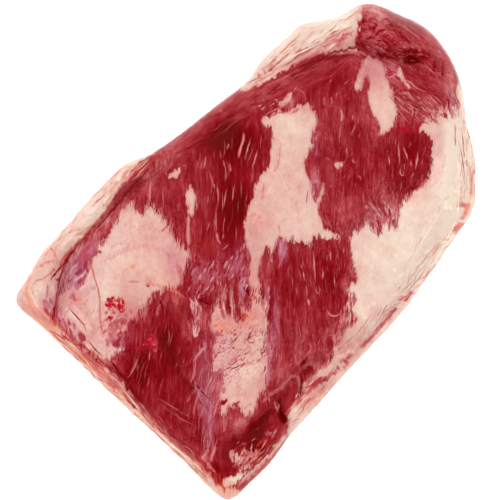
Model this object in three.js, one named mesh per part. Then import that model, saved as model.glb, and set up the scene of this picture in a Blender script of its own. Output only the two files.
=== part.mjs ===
// A whole raw beef brisket in a tight clear vacuum film, lying on its fat cap with the lean side up.
// One closed solid: the outer form that the drawn-down film gives to the meat.
// Millimetres. +X runs from the thin flat end to the thick point end, +Y across to the back side, and +Z up
// from the surface that it lies on. The origin is under the middle of the solid's box.
import * as THREE from "three";

// ---- Driving sizes ----
const LENGTH_CELLS = 72; // grid cells of the upper face along the brisket
const WIDTH_CELLS = 46; // and across it
const CELL_CROWDING = 0.22; // how much closer the grid lines lie near the edge
const WAIST_SHARE = 0.42; // height of the widest line, as a share of the local thickness
const UNDERCUT_SHARE = 0.3; // how far the foot lies inside that line, as a share of its height
const ROLL_POWER = 2.3; // roundness of the rolled edge: 2 is a quarter ellipse
const ROLL_START = Math.PI / 4; // where the upper grid ends and the side rings begin, on the rolled edge
const SIDE_RINGS = [0.5, 0, -0.42, -0.75, -1]; // down the side: 1 is the grid's rim, 0 the waist, -1 the foot
const CROSS_CROWN = 0.09; // share of the thickness that the upper face falls off towards both long sides
const HALF_WIDTH = 145;

// Thickness along the brisket: [x, thickness].
const THICKNESS = [
  [-230, 37],
  [-150, 43],
  [-60, 52],
  [30, 64],
  [110, 77],
  [165, 81],
  [205, 74],
  [232, 62],
];

// Outline seen from above, anticlockwise: [x, y, width of the rolled edge].
const FRONT_SIDE = [
  [-221, -136, 16],
  [-205, -142, 20],
  [-172, -144, 24],
  [-130, -141, 26],
  [-85, -141.5, 28],
  [-40, -142.5, 34],
  [10, -143.5, 44],
  [60, -139, 54],
  [98, -134, 60],
  [128, -130, 60],
  [150, -116, 58],
];
const POINT_END = [
  [165, -101, 56],
  [183, -77, 50],
  [204, -53, 42],
  [221, -25, 34],
  [229, 8, 32],
  [225, 38, 34],
  [214, 66, 34],
];
const BACK_SIDE = [
  [203, 77, 34],
  [182, 85, 36],
  [150, 103, 36],
  [118, 108, 36],
  [84, 107, 40],
  [48, 114, 44],
  [0, 123, 42],
  [-30, 131, 34],
  [-54, 142, 26],
  [-90, 145, 24],
  [-140, 145, 24],
  [-178, 143, 22],
];
const FLAT_END = [
  [-207, 136, 17],
  [-217, 126, 15],
  [-218, 90, 14],
  [-219, 45, 14],
  [-221, 0, 14],
  [-222, -50, 14],
  [-224, -95, 14],
  [-225, -124, 15],
];

// Creases (height below zero) and rolls (above) of the upper face: a course with a height and a half width.
const FOLDS = [
  {
    // where the lean turns down to the fat rim of the back side
    height: -8,
    reach: 7,
    course: [[-206, 97], [-188, 106], [-160, 121], [-135, 126], [-66, 122], [-40, 116], [-12, 112]],
  },
  {
    // the fat rim that rolls up behind that crease
    height: 7,
    reach: 10,
    course: [[-203, 118], [-172, 135], [-120, 137], [-75, 136], [-50, 131]],
  },
  {
    // the seam that parts the point's deckle from the muscle below it
    height: -8,
    reach: 7,
    course: [[100, 82], [130, 72], [153, 60], [168, 49], [175, 34], [182, 19], [193, 8], [204, 1]],
  },
  {
    // the ragged lip of the deckle beyond the seam
    height: 5,
    reach: 14,
    course: [[172, 64], [188, 44], [199, 26], [209, 12]],
  },
  {
    // long valley inside the rolled edge of the front side
    height: -6,
    reach: 9,
    course: [[-206, -106], [-165, -112], [-128, -113], [-92, -112], [-58, -118]],
  },
  {
    // the roll outside that valley
    height: 4,
    reach: 9,
    course: [[-196, -128], [-160, -130], [-110, -128], [-60, -130]],
  },
  {
    // two tucks across the roll
    height: -8,
    reach: 4.5,
    course: [[-126, -113], [-138, -136]],
  },
  {
    height: -7,
    reach: 4.5,
    course: [[-93, -113], [-110, -126]],
  },
  {
    // crease along the flat end
    height: -4,
    reach: 5,
    course: [[-202, 34], [-207, 12], [-212, -12], [-215, -45], [-216, -92]],
  },
  {
    // fold of the fat strip on the back side of the point
    height: -6,
    reach: 6,
    course: [[82, 100], [109, 90], [134, 81], [155, 77], [179, 70]],
  },
  {
    // shallow crease across the thin muscle of the flat end
    height: -2.5,
    reach: 6,
    course: [[-156, -6], [-167, -30], [-172, -54], [-174, -76]],
  },
  {
    // seam between the point muscle and the fat in front of it
    height: -4,
    reach: 9,
    course: [[28, -30], [30, -47], [44, -59], [80, -65], [108, -74], [128, -74], [149, -57]],
  },
];
const FOLD_FADE = 14; // length over which a fold dies out at both ends

// Broad swellings and hollows of the muscles: centre, half widths, turn of the long half width, and height.
const SWELLINGS = [
  { x: 194, y: 40, long: 46, short: 30, turn: 100, height: 4 }, // deckle of the point
  { x: 194, y: 5, long: 15, short: 8, turn: -40, height: -6 }, // hollow at the end of its seam
  { x: 86, y: -22, long: 76, short: 42, turn: 12, height: 5 }, // point muscle
  { x: 49, y: -38, long: 24, short: 20, turn: 0, height: 3 }, // its round lobe
  { x: 8, y: 62, long: 92, short: 34, turn: 20, height: 3 }, // muscle along the back side
  { x: 38, y: 24, long: 62, short: 15, turn: 38, height: -2 }, // seam fat between those two
  { x: -26, y: -74, long: 62, short: 28, turn: 40, height: 3 }, // muscle along the front side
  { x: -128, y: 76, long: 62, short: 36, turn: -4, height: 3 }, // fat of the flat end
  { x: -160, y: -8, long: 48, short: 30, turn: 40, height: -3 }, // thin muscle of the flat end
];

// Slow unevenness over the whole upper face: [wavelength, heading in degrees, height, start].
const WAVES = [
  [97, 24, 0.9, 0.4],
  [61, 118, 0.7, 1.9],
  [43, 47, 0.5, 2.6],
  [29, 155, 0.35, 4.4],
];

const MEAT_RED = 0x9a1c24;
const WET_ROUGHNESS = 0.35;

// ---- Curves ----
const radians = (degrees) => (degrees * Math.PI) / 180;

// A smooth line through points whose third number, where they have one, is carried along.
function smoothLine(points, closed = false) {
  const places = points.map(([x, y, z = 0]) => new THREE.Vector3(x, y, z));
  return new THREE.CatmullRomCurve3(places, closed, "centripetal");
}

// Height above a table of [place, height] rows, smooth between them.
function fromTable(table, place) {
  const last = table.length - 1;
  const at = THREE.MathUtils.clamp(place, table[0][0], table[last][0]);
  const i = Math.min(table.findIndex(([end], k) => k > 0 && at <= end), last);
  const [x0, y0] = table[i - 1];
  const [x1, y1] = table[i];
  const before = table[Math.max(i - 2, 0)];
  const after = table[Math.min(i + 1, last)];
  const slopeIn = ((y1 - before[1]) / (x1 - before[0])) * (x1 - x0);
  const slopeOut = ((after[1] - y0) / (after[0] - x0)) * (x1 - x0);
  const t = (at - x0) / (x1 - x0);
  return (
    y0 * (1 + 2 * t) * (1 - t) ** 2 +
    slopeIn * t * (1 - t) ** 2 +
    y1 * t * t * (3 - 2 * t) +
    slopeOut * t * t * (t - 1)
  );
}

// ---- Outline ----
const SIDES = [FRONT_SIDE, POINT_END, BACK_SIDE, FLAT_END];
const ALL_STATIONS = SIDES.flat();
const outline = smoothLine(ALL_STATIONS, true);
const STEPS_PER_STATION = 12;
const outlinePoints = outline.getPoints(ALL_STATIONS.length * STEPS_PER_STATION).slice(0, -1);

// The outline's points along one side, from its first station to the first of the next side.
function sidePoints(index) {
  const first = SIDES.slice(0, index).flat().length * STEPS_PER_STATION;
  const count = SIDES[index].length * STEPS_PER_STATION;
  return Array.from({ length: count + 1 }, (_, k) => outlinePoints[(first + k) % outlinePoints.length]);
}

// Distance seen from above between two points.
const planDistance = (a, b) => Math.hypot(a.x - b.x, a.y - b.y);

// The running length at each of a row of points.
function runningLengths(points) {
  const lengths = [0];
  for (let i = 1; i < points.length; i++) {
    lengths.push(lengths[i - 1] + planDistance(points[i - 1], points[i]));
  }
  return lengths;
}

// A point at a share of the length of a row of points, with the roll width in z.
function along(points, share) {
  const lengths = runningLengths(points);
  const want = share * lengths.at(-1);
  const i = Math.max(1, lengths.findIndex((length) => length >= want));
  return points[i - 1].clone().lerp(points[i], (want - lengths[i - 1]) / (lengths[i] - lengths[i - 1]));
}

// The place between a and b that lies nearest to (x, y): its share of the stretch, and its distance.
function nearestOn(a, b, x, y) {
  const [dx, dy] = [b.x - a.x, b.y - a.y];
  const share = THREE.MathUtils.clamp(((x - a.x) * dx + (y - a.y) * dy) / (dx * dx + dy * dy), 0, 1);
  return { share, distance: Math.hypot(x - a.x - share * dx, y - a.y - share * dy) };
}

// Distance from the outline, and the roll width of the edge nearest to that place.
function fromEdge(x, y) {
  let best = { distance: Infinity, roll: 0 };
  outlinePoints.forEach((a, i) => {
    const b = outlinePoints[(i + 1) % outlinePoints.length];
    const { share, distance } = nearestOn(a, b, x, y);
    if (distance < best.distance) best = { distance, roll: a.z + share * (b.z - a.z) };
  });
  return best;
}

// ---- Heights ----
const COURSE_STEPS = 6;
const folds = FOLDS.map(({ height, reach, course }) => {
  const points = smoothLine(course).getPoints((course.length - 1) * COURSE_STEPS);
  return { height, reach, points, lengths: runningLengths(points) };
});

// Distance to a fold's course, and how far the nearest place on it is from the nearer end.
function fromCourse({ points, lengths }, x, y) {
  let best = { distance: Infinity, fromEnd: 0 };
  for (let i = 1; i < points.length; i++) {
    const { share, distance } = nearestOn(points[i - 1], points[i], x, y);
    const run = lengths[i - 1] + share * (lengths[i] - lengths[i - 1]);
    if (distance < best.distance) best = { distance, fromEnd: Math.min(run, lengths.at(-1) - run) };
  }
  return best;
}

function foldHeight(x, y) {
  return folds.reduce((sum, fold) => {
    const { distance, fromEnd } = fromCourse(fold, x, y);
    const fade = THREE.MathUtils.smoothstep(fromEnd, 0, FOLD_FADE);
    return sum + fold.height * fade * Math.exp(-((distance / fold.reach) ** 2));
  }, 0);
}

function swellingHeight(x, y) {
  return SWELLINGS.reduce((sum, { x: middleX, y: middleY, long, short, turn, height }) => {
    const place = new THREE.Vector2(x - middleX, y - middleY);
    place.rotateAround(new THREE.Vector2(), -radians(turn));
    return sum + height * Math.exp(-((place.x / long) ** 2) - (place.y / short) ** 2);
  }, 0);
}

const waveHeight = (x, y) =>
  WAVES.reduce((sum, [wavelength, heading, height, start]) => {
    const run = x * Math.cos(radians(heading)) + y * Math.sin(radians(heading));
    return sum + height * Math.sin((2 * Math.PI * run) / wavelength + start);
  }, 0);

// Height that the upper face would have there without its rolled edge.
const crownHeight = (x, y) => fromTable(THICKNESS, x) * (1 - CROSS_CROWN * (y / HALF_WIDTH) ** 2);

const waistHeight = (x, y) => WAIST_SHARE * crownHeight(x, y);

// 0 on the widest line and 1 on the open upper face.
function rollShare(distance, roll) {
  const left = 1 - THREE.MathUtils.clamp(distance / roll, 0, 1);
  return (1 - left ** ROLL_POWER) ** (1 / ROLL_POWER);
}

function upperHeight(x, y) {
  const { distance, roll } = fromEdge(x, y);
  const share = rollShare(distance, roll);
  const waist = waistHeight(x, y);
  const relief = foldHeight(x, y) + swellingHeight(x, y) + waveHeight(x, y);
  return waist + (crownHeight(x, y) - waist + relief) * share;
}

// ---- Surface ----
// A share of a side, moved towards its nearer end so that grid lines lie closer there.
const crowded = (share) => share - (CELL_CROWDING * Math.sin(2 * Math.PI * share)) / (2 * Math.PI);

// A row of outline points moved inwards by that share of the roll's width which the upper grid leaves out.
function inset(points) {
  return points.map((point) => {
    const i = outlinePoints.indexOf(point);
    const before = outlinePoints.at(i - 1);
    const after = outlinePoints[(i + 1) % outlinePoints.length];
    const step = point.z * (1 - Math.cos(ROLL_START));
    const inwards = new THREE.Vector3(before.y - after.y, after.x - before.x, 0).normalize();
    return new THREE.Vector3(point.x, point.y, 0).addScaledVector(inwards, step);
  });
}

// Stations of the grid lines round the rim, each on the outline and on the rim of the upper grid.
const RIM_CELLS = [LENGTH_CELLS, WIDTH_CELLS, LENGTH_CELLS, WIDTH_CELLS];
const rim = RIM_CELLS.flatMap((cells, side) => {
  const outer = sidePoints(side);
  const inner = inset(outer);
  return Array.from({ length: cells }, (_, k) => ({
    outer: along(outer, crowded(k / cells)),
    inner: along(inner, crowded(k / cells)),
  }));
});

// A place of the upper grid, blended from the four rims (a Coons patch).
function gridPlace(i, j) {
  const [front, end] = [0, LENGTH_CELLS];
  const [back, flat] = [end + WIDTH_CELLS, 2 * end + WIDTH_CELLS];
  const at = (k) => rim[k % rim.length].inner;
  const [s, t] = [crowded(i / LENGTH_CELLS), crowded(j / WIDTH_CELLS)];
  const blend = (a, b, share) => a.clone().lerp(b, share);
  const acrossWidth = blend(at(front + i), at(back + LENGTH_CELLS - i), t);
  const alongLength = blend(at(flat + WIDTH_CELLS - j), at(end + j), s);
  const corners = blend(blend(at(front), at(end), s), blend(at(flat), at(back), s), t);
  return acrossWidth.add(alongLength).sub(corners);
}

// The number of the rim vertex at the edge of the upper grid, or -1 inside it.
function rimNumber(i, j) {
  if (j === 0) return i;
  if (i === LENGTH_CELLS) return LENGTH_CELLS + j;
  if (j === WIDTH_CELLS) return 2 * LENGTH_CELLS + WIDTH_CELLS - i;
  if (i === 0) return 2 * (LENGTH_CELLS + WIDTH_CELLS) - j;
  return -1;
}

// A place on one of the side rings, from the rim of the grid down to the foot.
function ringPlace({ outer, inner }, ring) {
  const waist = waistHeight(outer.x, outer.y);
  if (ring >= 0) {
    const turn = ring * ROLL_START;
    const out = 1 - (1 - Math.cos(turn)) / (1 - Math.cos(ROLL_START));
    const up = Math.sin(turn) / Math.sin(ROLL_START);
    const x = THREE.MathUtils.lerp(inner.x, outer.x, out);
    const y = THREE.MathUtils.lerp(inner.y, outer.y, out);
    return [x, y, THREE.MathUtils.lerp(waist, upperHeight(inner.x, inner.y), up)];
  }
  const turn = (-ring * Math.PI) / 2;
  const inwards = new THREE.Vector2(inner.x - outer.x, inner.y - outer.y).normalize();
  const step = UNDERCUT_SHARE * waist * (1 - Math.cos(turn));
  return [outer.x + inwards.x * step, outer.y + inwards.y * step, waist * (1 - Math.sin(turn))];
}

function brisketGeometry() {
  const positions = [];
  const triangles = [];
  const addVertex = (x, y, z) => positions.push(x, y, z) / 3 - 1;
  const addQuad = (a, b, c, d) => triangles.push(a, b, c, a, c, d);

  // the upper face
  const rimVertices = rim.map(({ inner }) => addVertex(inner.x, inner.y, upperHeight(inner.x, inner.y)));
  const gridVertex = (i, j) => {
    const onRim = rimNumber(i, j);
    if (onRim >= 0) return rimVertices[onRim % rim.length];
    const { x, y } = gridPlace(i, j);
    return addVertex(x, y, upperHeight(x, y));
  };
  const columns = Array.from({ length: LENGTH_CELLS + 1 }, (_, i) =>
    Array.from({ length: WIDTH_CELLS + 1 }, (_, j) => gridVertex(i, j)),
  );
  for (let i = 0; i < LENGTH_CELLS; i++) {
    const [here, next] = [columns[i], columns[i + 1]];
    for (let j = 0; j < WIDTH_CELLS; j++) {
      addQuad(here[j], next[j], next[j + 1], here[j + 1]);
    }
  }

  // the side, ring below ring
  let above = rimVertices;
  for (const ring of SIDE_RINGS) {
    const below = rim.map((station) => addVertex(...ringPlace(station, ring)));
    rim.forEach((_, k) => {
      const next = (k + 1) % rim.length;
      addQuad(above[k], below[k], below[next], above[next]);
    });
    above = below;
  }

  // the flat underside
  const foot = above.map((v) => new THREE.Vector2(positions[3 * v], positions[3 * v + 1]));
  for (const [a, b, c] of THREE.ShapeUtils.triangulateShape(foot, [])) {
    triangles.push(above[a], above[c], above[b]);
  }

  const geometry = new THREE.BufferGeometry();
  geometry.setAttribute("position", new THREE.Float32BufferAttribute(positions, 3));
  geometry.setIndex(triangles);
  geometry.computeBoundingBox();
  const middle = geometry.boundingBox.getCenter(new THREE.Vector3());
  geometry.translate(-middle.x, -middle.y, 0);
  geometry.computeVertexNormals();
  return geometry;
}

const brisket = new THREE.Mesh(
  brisketGeometry(),
  new THREE.MeshStandardMaterial({ color: MEAT_RED, roughness: WET_ROUGHNESS, metalness: 0 }),
);
brisket.name = "brisket";

const part = new THREE.Group();
part.add(brisket);

export default part;
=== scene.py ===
"""A whole raw beef brisket, lean side up on its fat cap, in a tight clear vacuum film.

Five pieces stand for the brisket's solid: the meat and the film drawn down over it, both moulded from one
slab blank, the sinews and slits laid along the grain of the meat, with painted glints of the film among the
sinews and painted shade of the creases among the slits, and the pleats of the film, painted white as
highlights. Lengths are in millimetres until a piece is finished, and places are in the drawing's own plan:
x from the flat end to the point end, y across to the back side.
"""

import math

import bpy
import numpy as np
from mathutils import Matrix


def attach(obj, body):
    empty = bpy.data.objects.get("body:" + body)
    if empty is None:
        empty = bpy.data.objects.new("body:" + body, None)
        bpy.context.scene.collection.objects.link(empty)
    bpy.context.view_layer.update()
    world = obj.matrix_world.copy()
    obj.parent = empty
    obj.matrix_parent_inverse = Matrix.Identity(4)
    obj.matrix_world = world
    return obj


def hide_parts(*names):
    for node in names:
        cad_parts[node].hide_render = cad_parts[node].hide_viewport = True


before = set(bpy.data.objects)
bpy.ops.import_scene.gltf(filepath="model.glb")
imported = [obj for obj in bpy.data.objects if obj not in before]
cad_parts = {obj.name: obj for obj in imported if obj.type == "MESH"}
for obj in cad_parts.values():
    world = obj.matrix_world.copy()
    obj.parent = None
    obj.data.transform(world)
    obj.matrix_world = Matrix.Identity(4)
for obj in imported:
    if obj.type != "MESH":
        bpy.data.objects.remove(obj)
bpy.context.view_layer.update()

METRES = 0.001

# ---- Form: the solid's own sizes, apart from one shallower hollow ----
CELL_CROWDING = 0.22  # how much closer the grid lines lie near the edge
WAIST_SHARE = 0.42  # height of the widest line, as a share of the local thickness
UNDERCUT_SHARE = 0.3  # how far the foot lies inside that line, as a share of its height
ROLL_POWER = 2.3  # roundness of the rolled edge
ROLL_START = math.pi / 4  # where the upper face ends and the side begins, on the rolled edge
CROSS_CROWN = 0.09  # share of the thickness that the upper face falls off towards both long sides
HALF_WIDTH = 145.0
FOLD_FADE = 14.0

THICKNESS = [(-230, 37), (-150, 43), (-60, 52), (30, 64), (110, 77), (165, 81), (205, 74), (232, 62)]

# outline, anticlockwise: x, y, width of the rolled edge
FRONT_SIDE = [
    (-221, -136, 16), (-205, -142, 20), (-172, -144, 24), (-130, -141, 26), (-85, -141.5, 28),
    (-40, -142.5, 34), (10, -143.5, 44), (60, -139, 54), (98, -134, 60), (128, -130, 60), (150, -116, 58),
]
POINT_END = [
    (165, -101, 56), (183, -77, 50), (204, -53, 42), (221, -25, 34), (229, 8, 32), (225, 38, 34),
    (214, 66, 34),
]
BACK_SIDE = [
    (203, 77, 34), (182, 85, 36), (150, 103, 36), (118, 108, 36), (84, 107, 40), (48, 114, 44),
    (0, 123, 42), (-30, 131, 34), (-54, 142, 26), (-90, 145, 24), (-140, 145, 24), (-178, 143, 22),
]
FLAT_END = [
    (-207, 136, 17), (-217, 126, 15), (-218, 90, 14), (-219, 45, 14), (-221, 0, 14), (-222, -50, 14),
    (-224, -95, 14), (-225, -124, 15),
]

# creases and rolls: height, half width, course
FOLDS = [
    (-8, 7, [(-206, 97), (-188, 106), (-160, 121), (-135, 126), (-66, 122), (-40, 116), (-12, 112)]),
    (7, 10, [(-203, 118), (-172, 135), (-120, 137), (-75, 136), (-50, 131)]),
    (-8, 7, [(100, 82), (130, 72), (153, 60), (168, 49), (175, 34), (182, 19), (193, 8), (204, 1)]),
    (5, 14, [(172, 64), (188, 44), (199, 26), (209, 12)]),
    (-6, 9, [(-206, -106), (-165, -112), (-128, -113), (-92, -112), (-58, -118)]),
    (4, 9, [(-196, -128), (-160, -130), (-110, -128), (-60, -130)]),
    (-8, 4.5, [(-126, -113), (-138, -136)]),
    (-7, 4.5, [(-93, -113), (-110, -126)]),
    (-4, 5, [(-202, 34), (-207, 12), (-212, -12), (-215, -45), (-216, -92)]),
    (-6, 6, [(82, 100), (109, 90), (134, 81), (155, 77), (179, 70)]),
    (-2.5, 6, [(-156, -6), (-167, -30), (-172, -54), (-174, -76)]),
    (-4, 9, [(28, -30), (30, -47), (44, -59), (80, -65), (108, -74), (128, -74), (149, -57)]),
]

# broad swellings and hollows: x, y, half length, half width, turn in degrees, height
SWELLINGS = [
    (194, 40, 46, 30, 100, 4),
    (195, 5, 18, 9, -52, -4),  # the hollow at the end of the seam, 2 shallower than the solid's
    (86, -22, 76, 42, 12, 5),
    (49, -38, 24, 20, 0, 3),
    (8, 62, 92, 34, 20, 3),
    (38, 24, 62, 15, 38, -2),
    (-26, -74, 62, 28, 40, 3),
    (-128, 76, 62, 36, -4, 3),
    (-160, -8, 48, 30, 40, -3),
]

# slow unevenness: wavelength, heading in degrees, height, start
WAVES = [(97, 24, 0.9, 0.4), (61, 118, 0.7, 1.9), (43, 47, 0.5, 2.6), (29, 155, 0.35, 4.4)]


def smooth_line(points, closed=False, steps=12):
    """Points of a centripetal Catmull-Rom line through these, steps to each stretch."""
    knots = np.array([tuple(p) + (0.0,) * (3 - len(p)) for p in points], float)
    count = len(knots)
    if closed:
        framed = np.vstack([knots[-1], knots, knots[0], knots[1]])
        stretches = count
    else:
        framed = np.vstack([2 * knots[0] - knots[1], knots, 2 * knots[-1] - knots[-2]])
        stretches = count - 1
    line = []
    share = np.linspace(0, 1, steps, endpoint=False)[:, None]
    for i in range(stretches):
        a, b, c, d = framed[i:i + 4]
        before, here, after = [max(np.sum((q - p) ** 2), 1e-8) ** 0.25 for p, q in ((a, b), (b, c), (c, d))]
        leave = ((b - a) / before - (c - a) / (before + here) + (c - b) / here) * here
        arrive = ((c - b) / here - (d - b) / (here + after) + (d - c) / after) * here
        line.append(
            b
            + leave * share
            + (-3 * b + 3 * c - 2 * leave - arrive) * share ** 2
            + (2 * b - 2 * c + leave + arrive) * share ** 3
        )
    if not closed:
        line.append(knots[-1:])
    return np.vstack(line)


def running_lengths(points):
    return np.concatenate([[0], np.cumsum(np.hypot(*np.diff(points[:, :2], axis=0).T))])


def smooth_step(low, high, value):
    share = np.clip((value - low) / (high - low), 0, 1)
    return share * share * (3 - 2 * share)


STEPS_PER_STATION = 12
SIDES = [FRONT_SIDE, POINT_END, BACK_SIDE, FLAT_END]
stations = [station for side in SIDES for station in side]
outline = smooth_line(stations, closed=True, steps=STEPS_PER_STATION)
outline_loop = np.vstack([outline, outline[:1]])
drawing_middle = (outline[:, :2].min(0) + outline[:, :2].max(0)) / 2


def nearest(points, x, y):
    """Distance of each place from a line, with the line's nearest stretch and the share along it."""
    start, run = points[:-1, :2], np.diff(points[:, :2], axis=0)
    square = np.maximum((run ** 2).sum(1), 1e-9)
    distance, stretch, where = np.empty(len(x)), np.empty(len(x), int), np.empty(len(x))
    for part in np.array_split(np.arange(len(x)), 1 + len(x) * len(run) // 300000):
        dx, dy = x[part, None] - start[:, 0], y[part, None] - start[:, 1]
        share = np.clip((dx * run[:, 0] + dy * run[:, 1]) / square, 0, 1)
        gap = (dx - share * run[:, 0]) ** 2 + (dy - share * run[:, 1]) ** 2
        best = gap.argmin(1)
        row = np.arange(len(part))
        distance[part], stretch[part], where[part] = np.sqrt(gap[row, best]), best, share[row, best]
    return distance, stretch, where


def from_edge(x, y):
    """Distance inside the outline, and the roll width of the edge nearest to each place."""
    distance, stretch, where = nearest(outline_loop, x, y)
    roll = outline_loop[stretch, 2] + where * (outline_loop[stretch + 1, 2] - outline_loop[stretch, 2])
    return distance, roll


def from_table(table, place):
    """Height above a table of (place, height) rows, smooth between them."""
    places, heights = np.array(table, float).T
    slopes = np.gradient(heights, places)
    slopes[1:-1] = (heights[2:] - heights[:-2]) / (places[2:] - places[:-2])
    at = np.clip(place, places[0], places[-1])
    i = np.clip(np.searchsorted(places, at) - 1, 0, len(places) - 2)
    run = places[i + 1] - places[i]
    t = (at - places[i]) / run
    return (
        heights[i] * (1 + 2 * t) * (1 - t) ** 2
        + slopes[i] * run * t * (1 - t) ** 2
        + heights[i + 1] * t * t * (3 - 2 * t)
        + slopes[i + 1] * run * t * t * (t - 1)
    )


def crown_height(x, y):
    return from_table(THICKNESS, x) * (1 - CROSS_CROWN * (y / HALF_WIDTH) ** 2)


fold_lines = [(height, reach, smooth_line(course, steps=6)) for height, reach, course in FOLDS]


def fold_height(x, y):
    total = np.zeros(x.shape)
    for height, reach, line in fold_lines:
        low, high = line.min(0) - 3 * reach, line.max(0) + 3 * reach
        near = (x > low[0]) & (x < high[0]) & (y > low[1]) & (y < high[1])
        lengths = running_lengths(line)
        distance, stretch, where = nearest(line, x[near], y[near])
        run = lengths[stretch] + where * (lengths[stretch + 1] - lengths[stretch])
        fade = smooth_step(0, FOLD_FADE, np.minimum(run, lengths[-1] - run))
        total[near] += height * fade * np.exp(-((distance / reach) ** 2))
    return total


def swelling_height(x, y):
    total = np.zeros(x.shape)
    for middle_x, middle_y, long, short, turn, height in SWELLINGS:
        c, s = math.cos(math.radians(turn)), math.sin(math.radians(turn))
        dx, dy = x - middle_x, y - middle_y
        total += height * np.exp(-(((c * dx + s * dy) / long) ** 2) - ((c * dy - s * dx) / short) ** 2)
    return total


def wave_height(x, y):
    total = np.zeros(x.shape)
    for wavelength, heading, height, start in WAVES:
        run = x * math.cos(math.radians(heading)) + y * math.sin(math.radians(heading))
        total += height * np.sin(2 * math.pi * run / wavelength + start)
    return total


def upper_height(x, y, distance, roll):
    waist = WAIST_SHARE * crown_height(x, y)
    left = 1 - np.clip(distance / roll, 0, 1)
    share = (1 - left ** ROLL_POWER) ** (1 / ROLL_POWER)
    relief = fold_height(x, y) + swelling_height(x, y) + wave_height(x, y)
    return waist + (crown_height(x, y) - waist + relief) * share


# ---- The view, and the drawn grid that the marks are placed on ----
VIEW_MIDDLE = np.array([-35.5, 1.5])  # the place on the plan that it looks straight down on
VIEW_TURN = 48.5  # degrees that the plan is turned in the view
VIEW_WIDTH = 470.0  # what the view takes in at the level below
VIEW_LEVEL = 25.0
CAMERA_DISTANCE = 1960.0
SENSOR_WIDTH = 36.0
VIEW_END = 30.0  # metres that the camera sees

# marks are drawn on a grid laid over the view: squares to the right and squares down
GRID_SQUARE = 0.94
GRID_MIDDLE = 250.0
TO_RIGHT = np.array([math.cos(math.radians(VIEW_TURN)), -math.sin(math.radians(VIEW_TURN))])
TO_TOP = np.array([math.sin(math.radians(VIEW_TURN)), math.cos(math.radians(VIEW_TURN))])


def on_meat(squares):
    """The plan places where lines of sight through these places of the grid meet the upper face."""
    squares = np.array(squares, float) - GRID_MIDDLE
    points = VIEW_MIDDLE + GRID_SQUARE * (squares[:, :1] * TO_RIGHT - squares[:, 1:2] * TO_TOP)
    height = upper_height(points[:, 0], points[:, 1], *from_edge(points[:, 0], points[:, 1]))
    nearer = CAMERA_DISTANCE / (CAMERA_DISTANCE - (height - VIEW_LEVEL))
    return VIEW_MIDDLE + (points - VIEW_MIDDLE) / nearer[:, None]


def places_of(text):
    """Grid places written as pairs of numbers, right and down, with commas between them."""
    return [tuple(float(number) for number in place.split()) for place in text.split(",")]


def rows_of(text):
    """Rows of a drawing table: each holds numbers, and a course on the grid if it has a colon.

    A line break or a semicolon ends a row, but a comma at the end of a line carries its course on.
    """
    rows = []
    for row in text.replace(",\n", ",").replace(";", "\n").splitlines():
        numbers, colon, course = row.partition(":")
        if numbers.split():
            rows.append((*map(float, numbers.split()), *([places_of(course)] if colon else [])))
    return rows


# where the rim is drawn out a little: grid place, reach, and the pull right and down in squares
PULLS = rows_of("""
19 300 13 -5 .5; 227 492 15 .5 5; 62 341 26 -1.2 1.2; 98 380 30 -1.6 1.6; 135 418 30 -1.6 1.6
175 455 26 -1.4 1.4; 205 479 18 -1.2 1.6; 304 29 9 -2 -2.4; 264 64 16 -1.6 -1.6; 45 256 16 -1.2 -.8
315 416 24 .9 .9; 268 466 22 1 1; 344 15 14 1.2 1.6; 396 15 16 -1 1.8; 468 116 16 -1.6 .2
476 181 10 -1.4 0
""")
PULLED_RIM = 26.0  # how far in from the edge a pull fades out


def pulled_out(plan, distance):
    """The plan with its rim drawn out."""
    moved = plan.copy()
    left = np.clip(1 - distance / PULLED_RIM, 0, 1)
    for right, down, reach, across, below in PULLS:
        (x, y), = on_meat([(right, down)])
        share = left * np.exp(-((plan[:, 0] - x) ** 2 + (plan[:, 1] - y) ** 2) / reach ** 2)
        moved += share[:, None] * GRID_SQUARE * (across * TO_RIGHT - below * TO_TOP)
    return moved


# ---- Uneven patterns ----
GRAIN_HEADING = math.radians(41.5)
FAR_HEADING = math.radians(-80)  # of the grain at the point end
SLOPE_HEADING = math.radians(-15)  # and on the back side's slope
LATTICE = 128  # cells after which a pattern repeats
UNEVENNESS_GAIN = 1.6  # brings the slopes' sum up to about one


def unevenness(x, y, seed):
    """Smooth random height from about -1 to 1, which changes over a distance of about one."""
    turns = np.random.default_rng(seed).uniform(0, 2 * math.pi, (LATTICE, LATTICE))
    column, row = np.floor(x).astype(int), np.floor(y).astype(int)
    across, up = x - column, y - row
    total = np.zeros(np.shape(x))
    for i in (0, 1):
        for j in (0, 1):
            turn = turns[(column + i) % LATTICE, (row + j) % LATTICE]
            slope = np.cos(turn) * (across - i) + np.sin(turn) * (up - j)
            total += slope * smooth_step(0, 1, 1 - abs(across - i)) * smooth_step(0, 1, 1 - abs(up - j))
    return UNEVENNESS_GAIN * total


def turned(x, y, heading):
    c, s = math.cos(heading), math.sin(heading)
    return c * x + s * y, c * y - s * x


def fibres(x, y, long, wide, seed, heading=GRAIN_HEADING):
    """Unevenness drawn out along the grain."""
    along, across = turned(x, y, heading)
    return unevenness(along / long, across / wide, seed)


# ---- The slab blank, and how it is moulded ----
LENGTH_CELLS = 350
WIDTH_CELLS = 226
UPPER_RINGS = 5  # down the rolled edge to the waist
LOWER_RINGS = 9  # and from there to the foot


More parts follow.
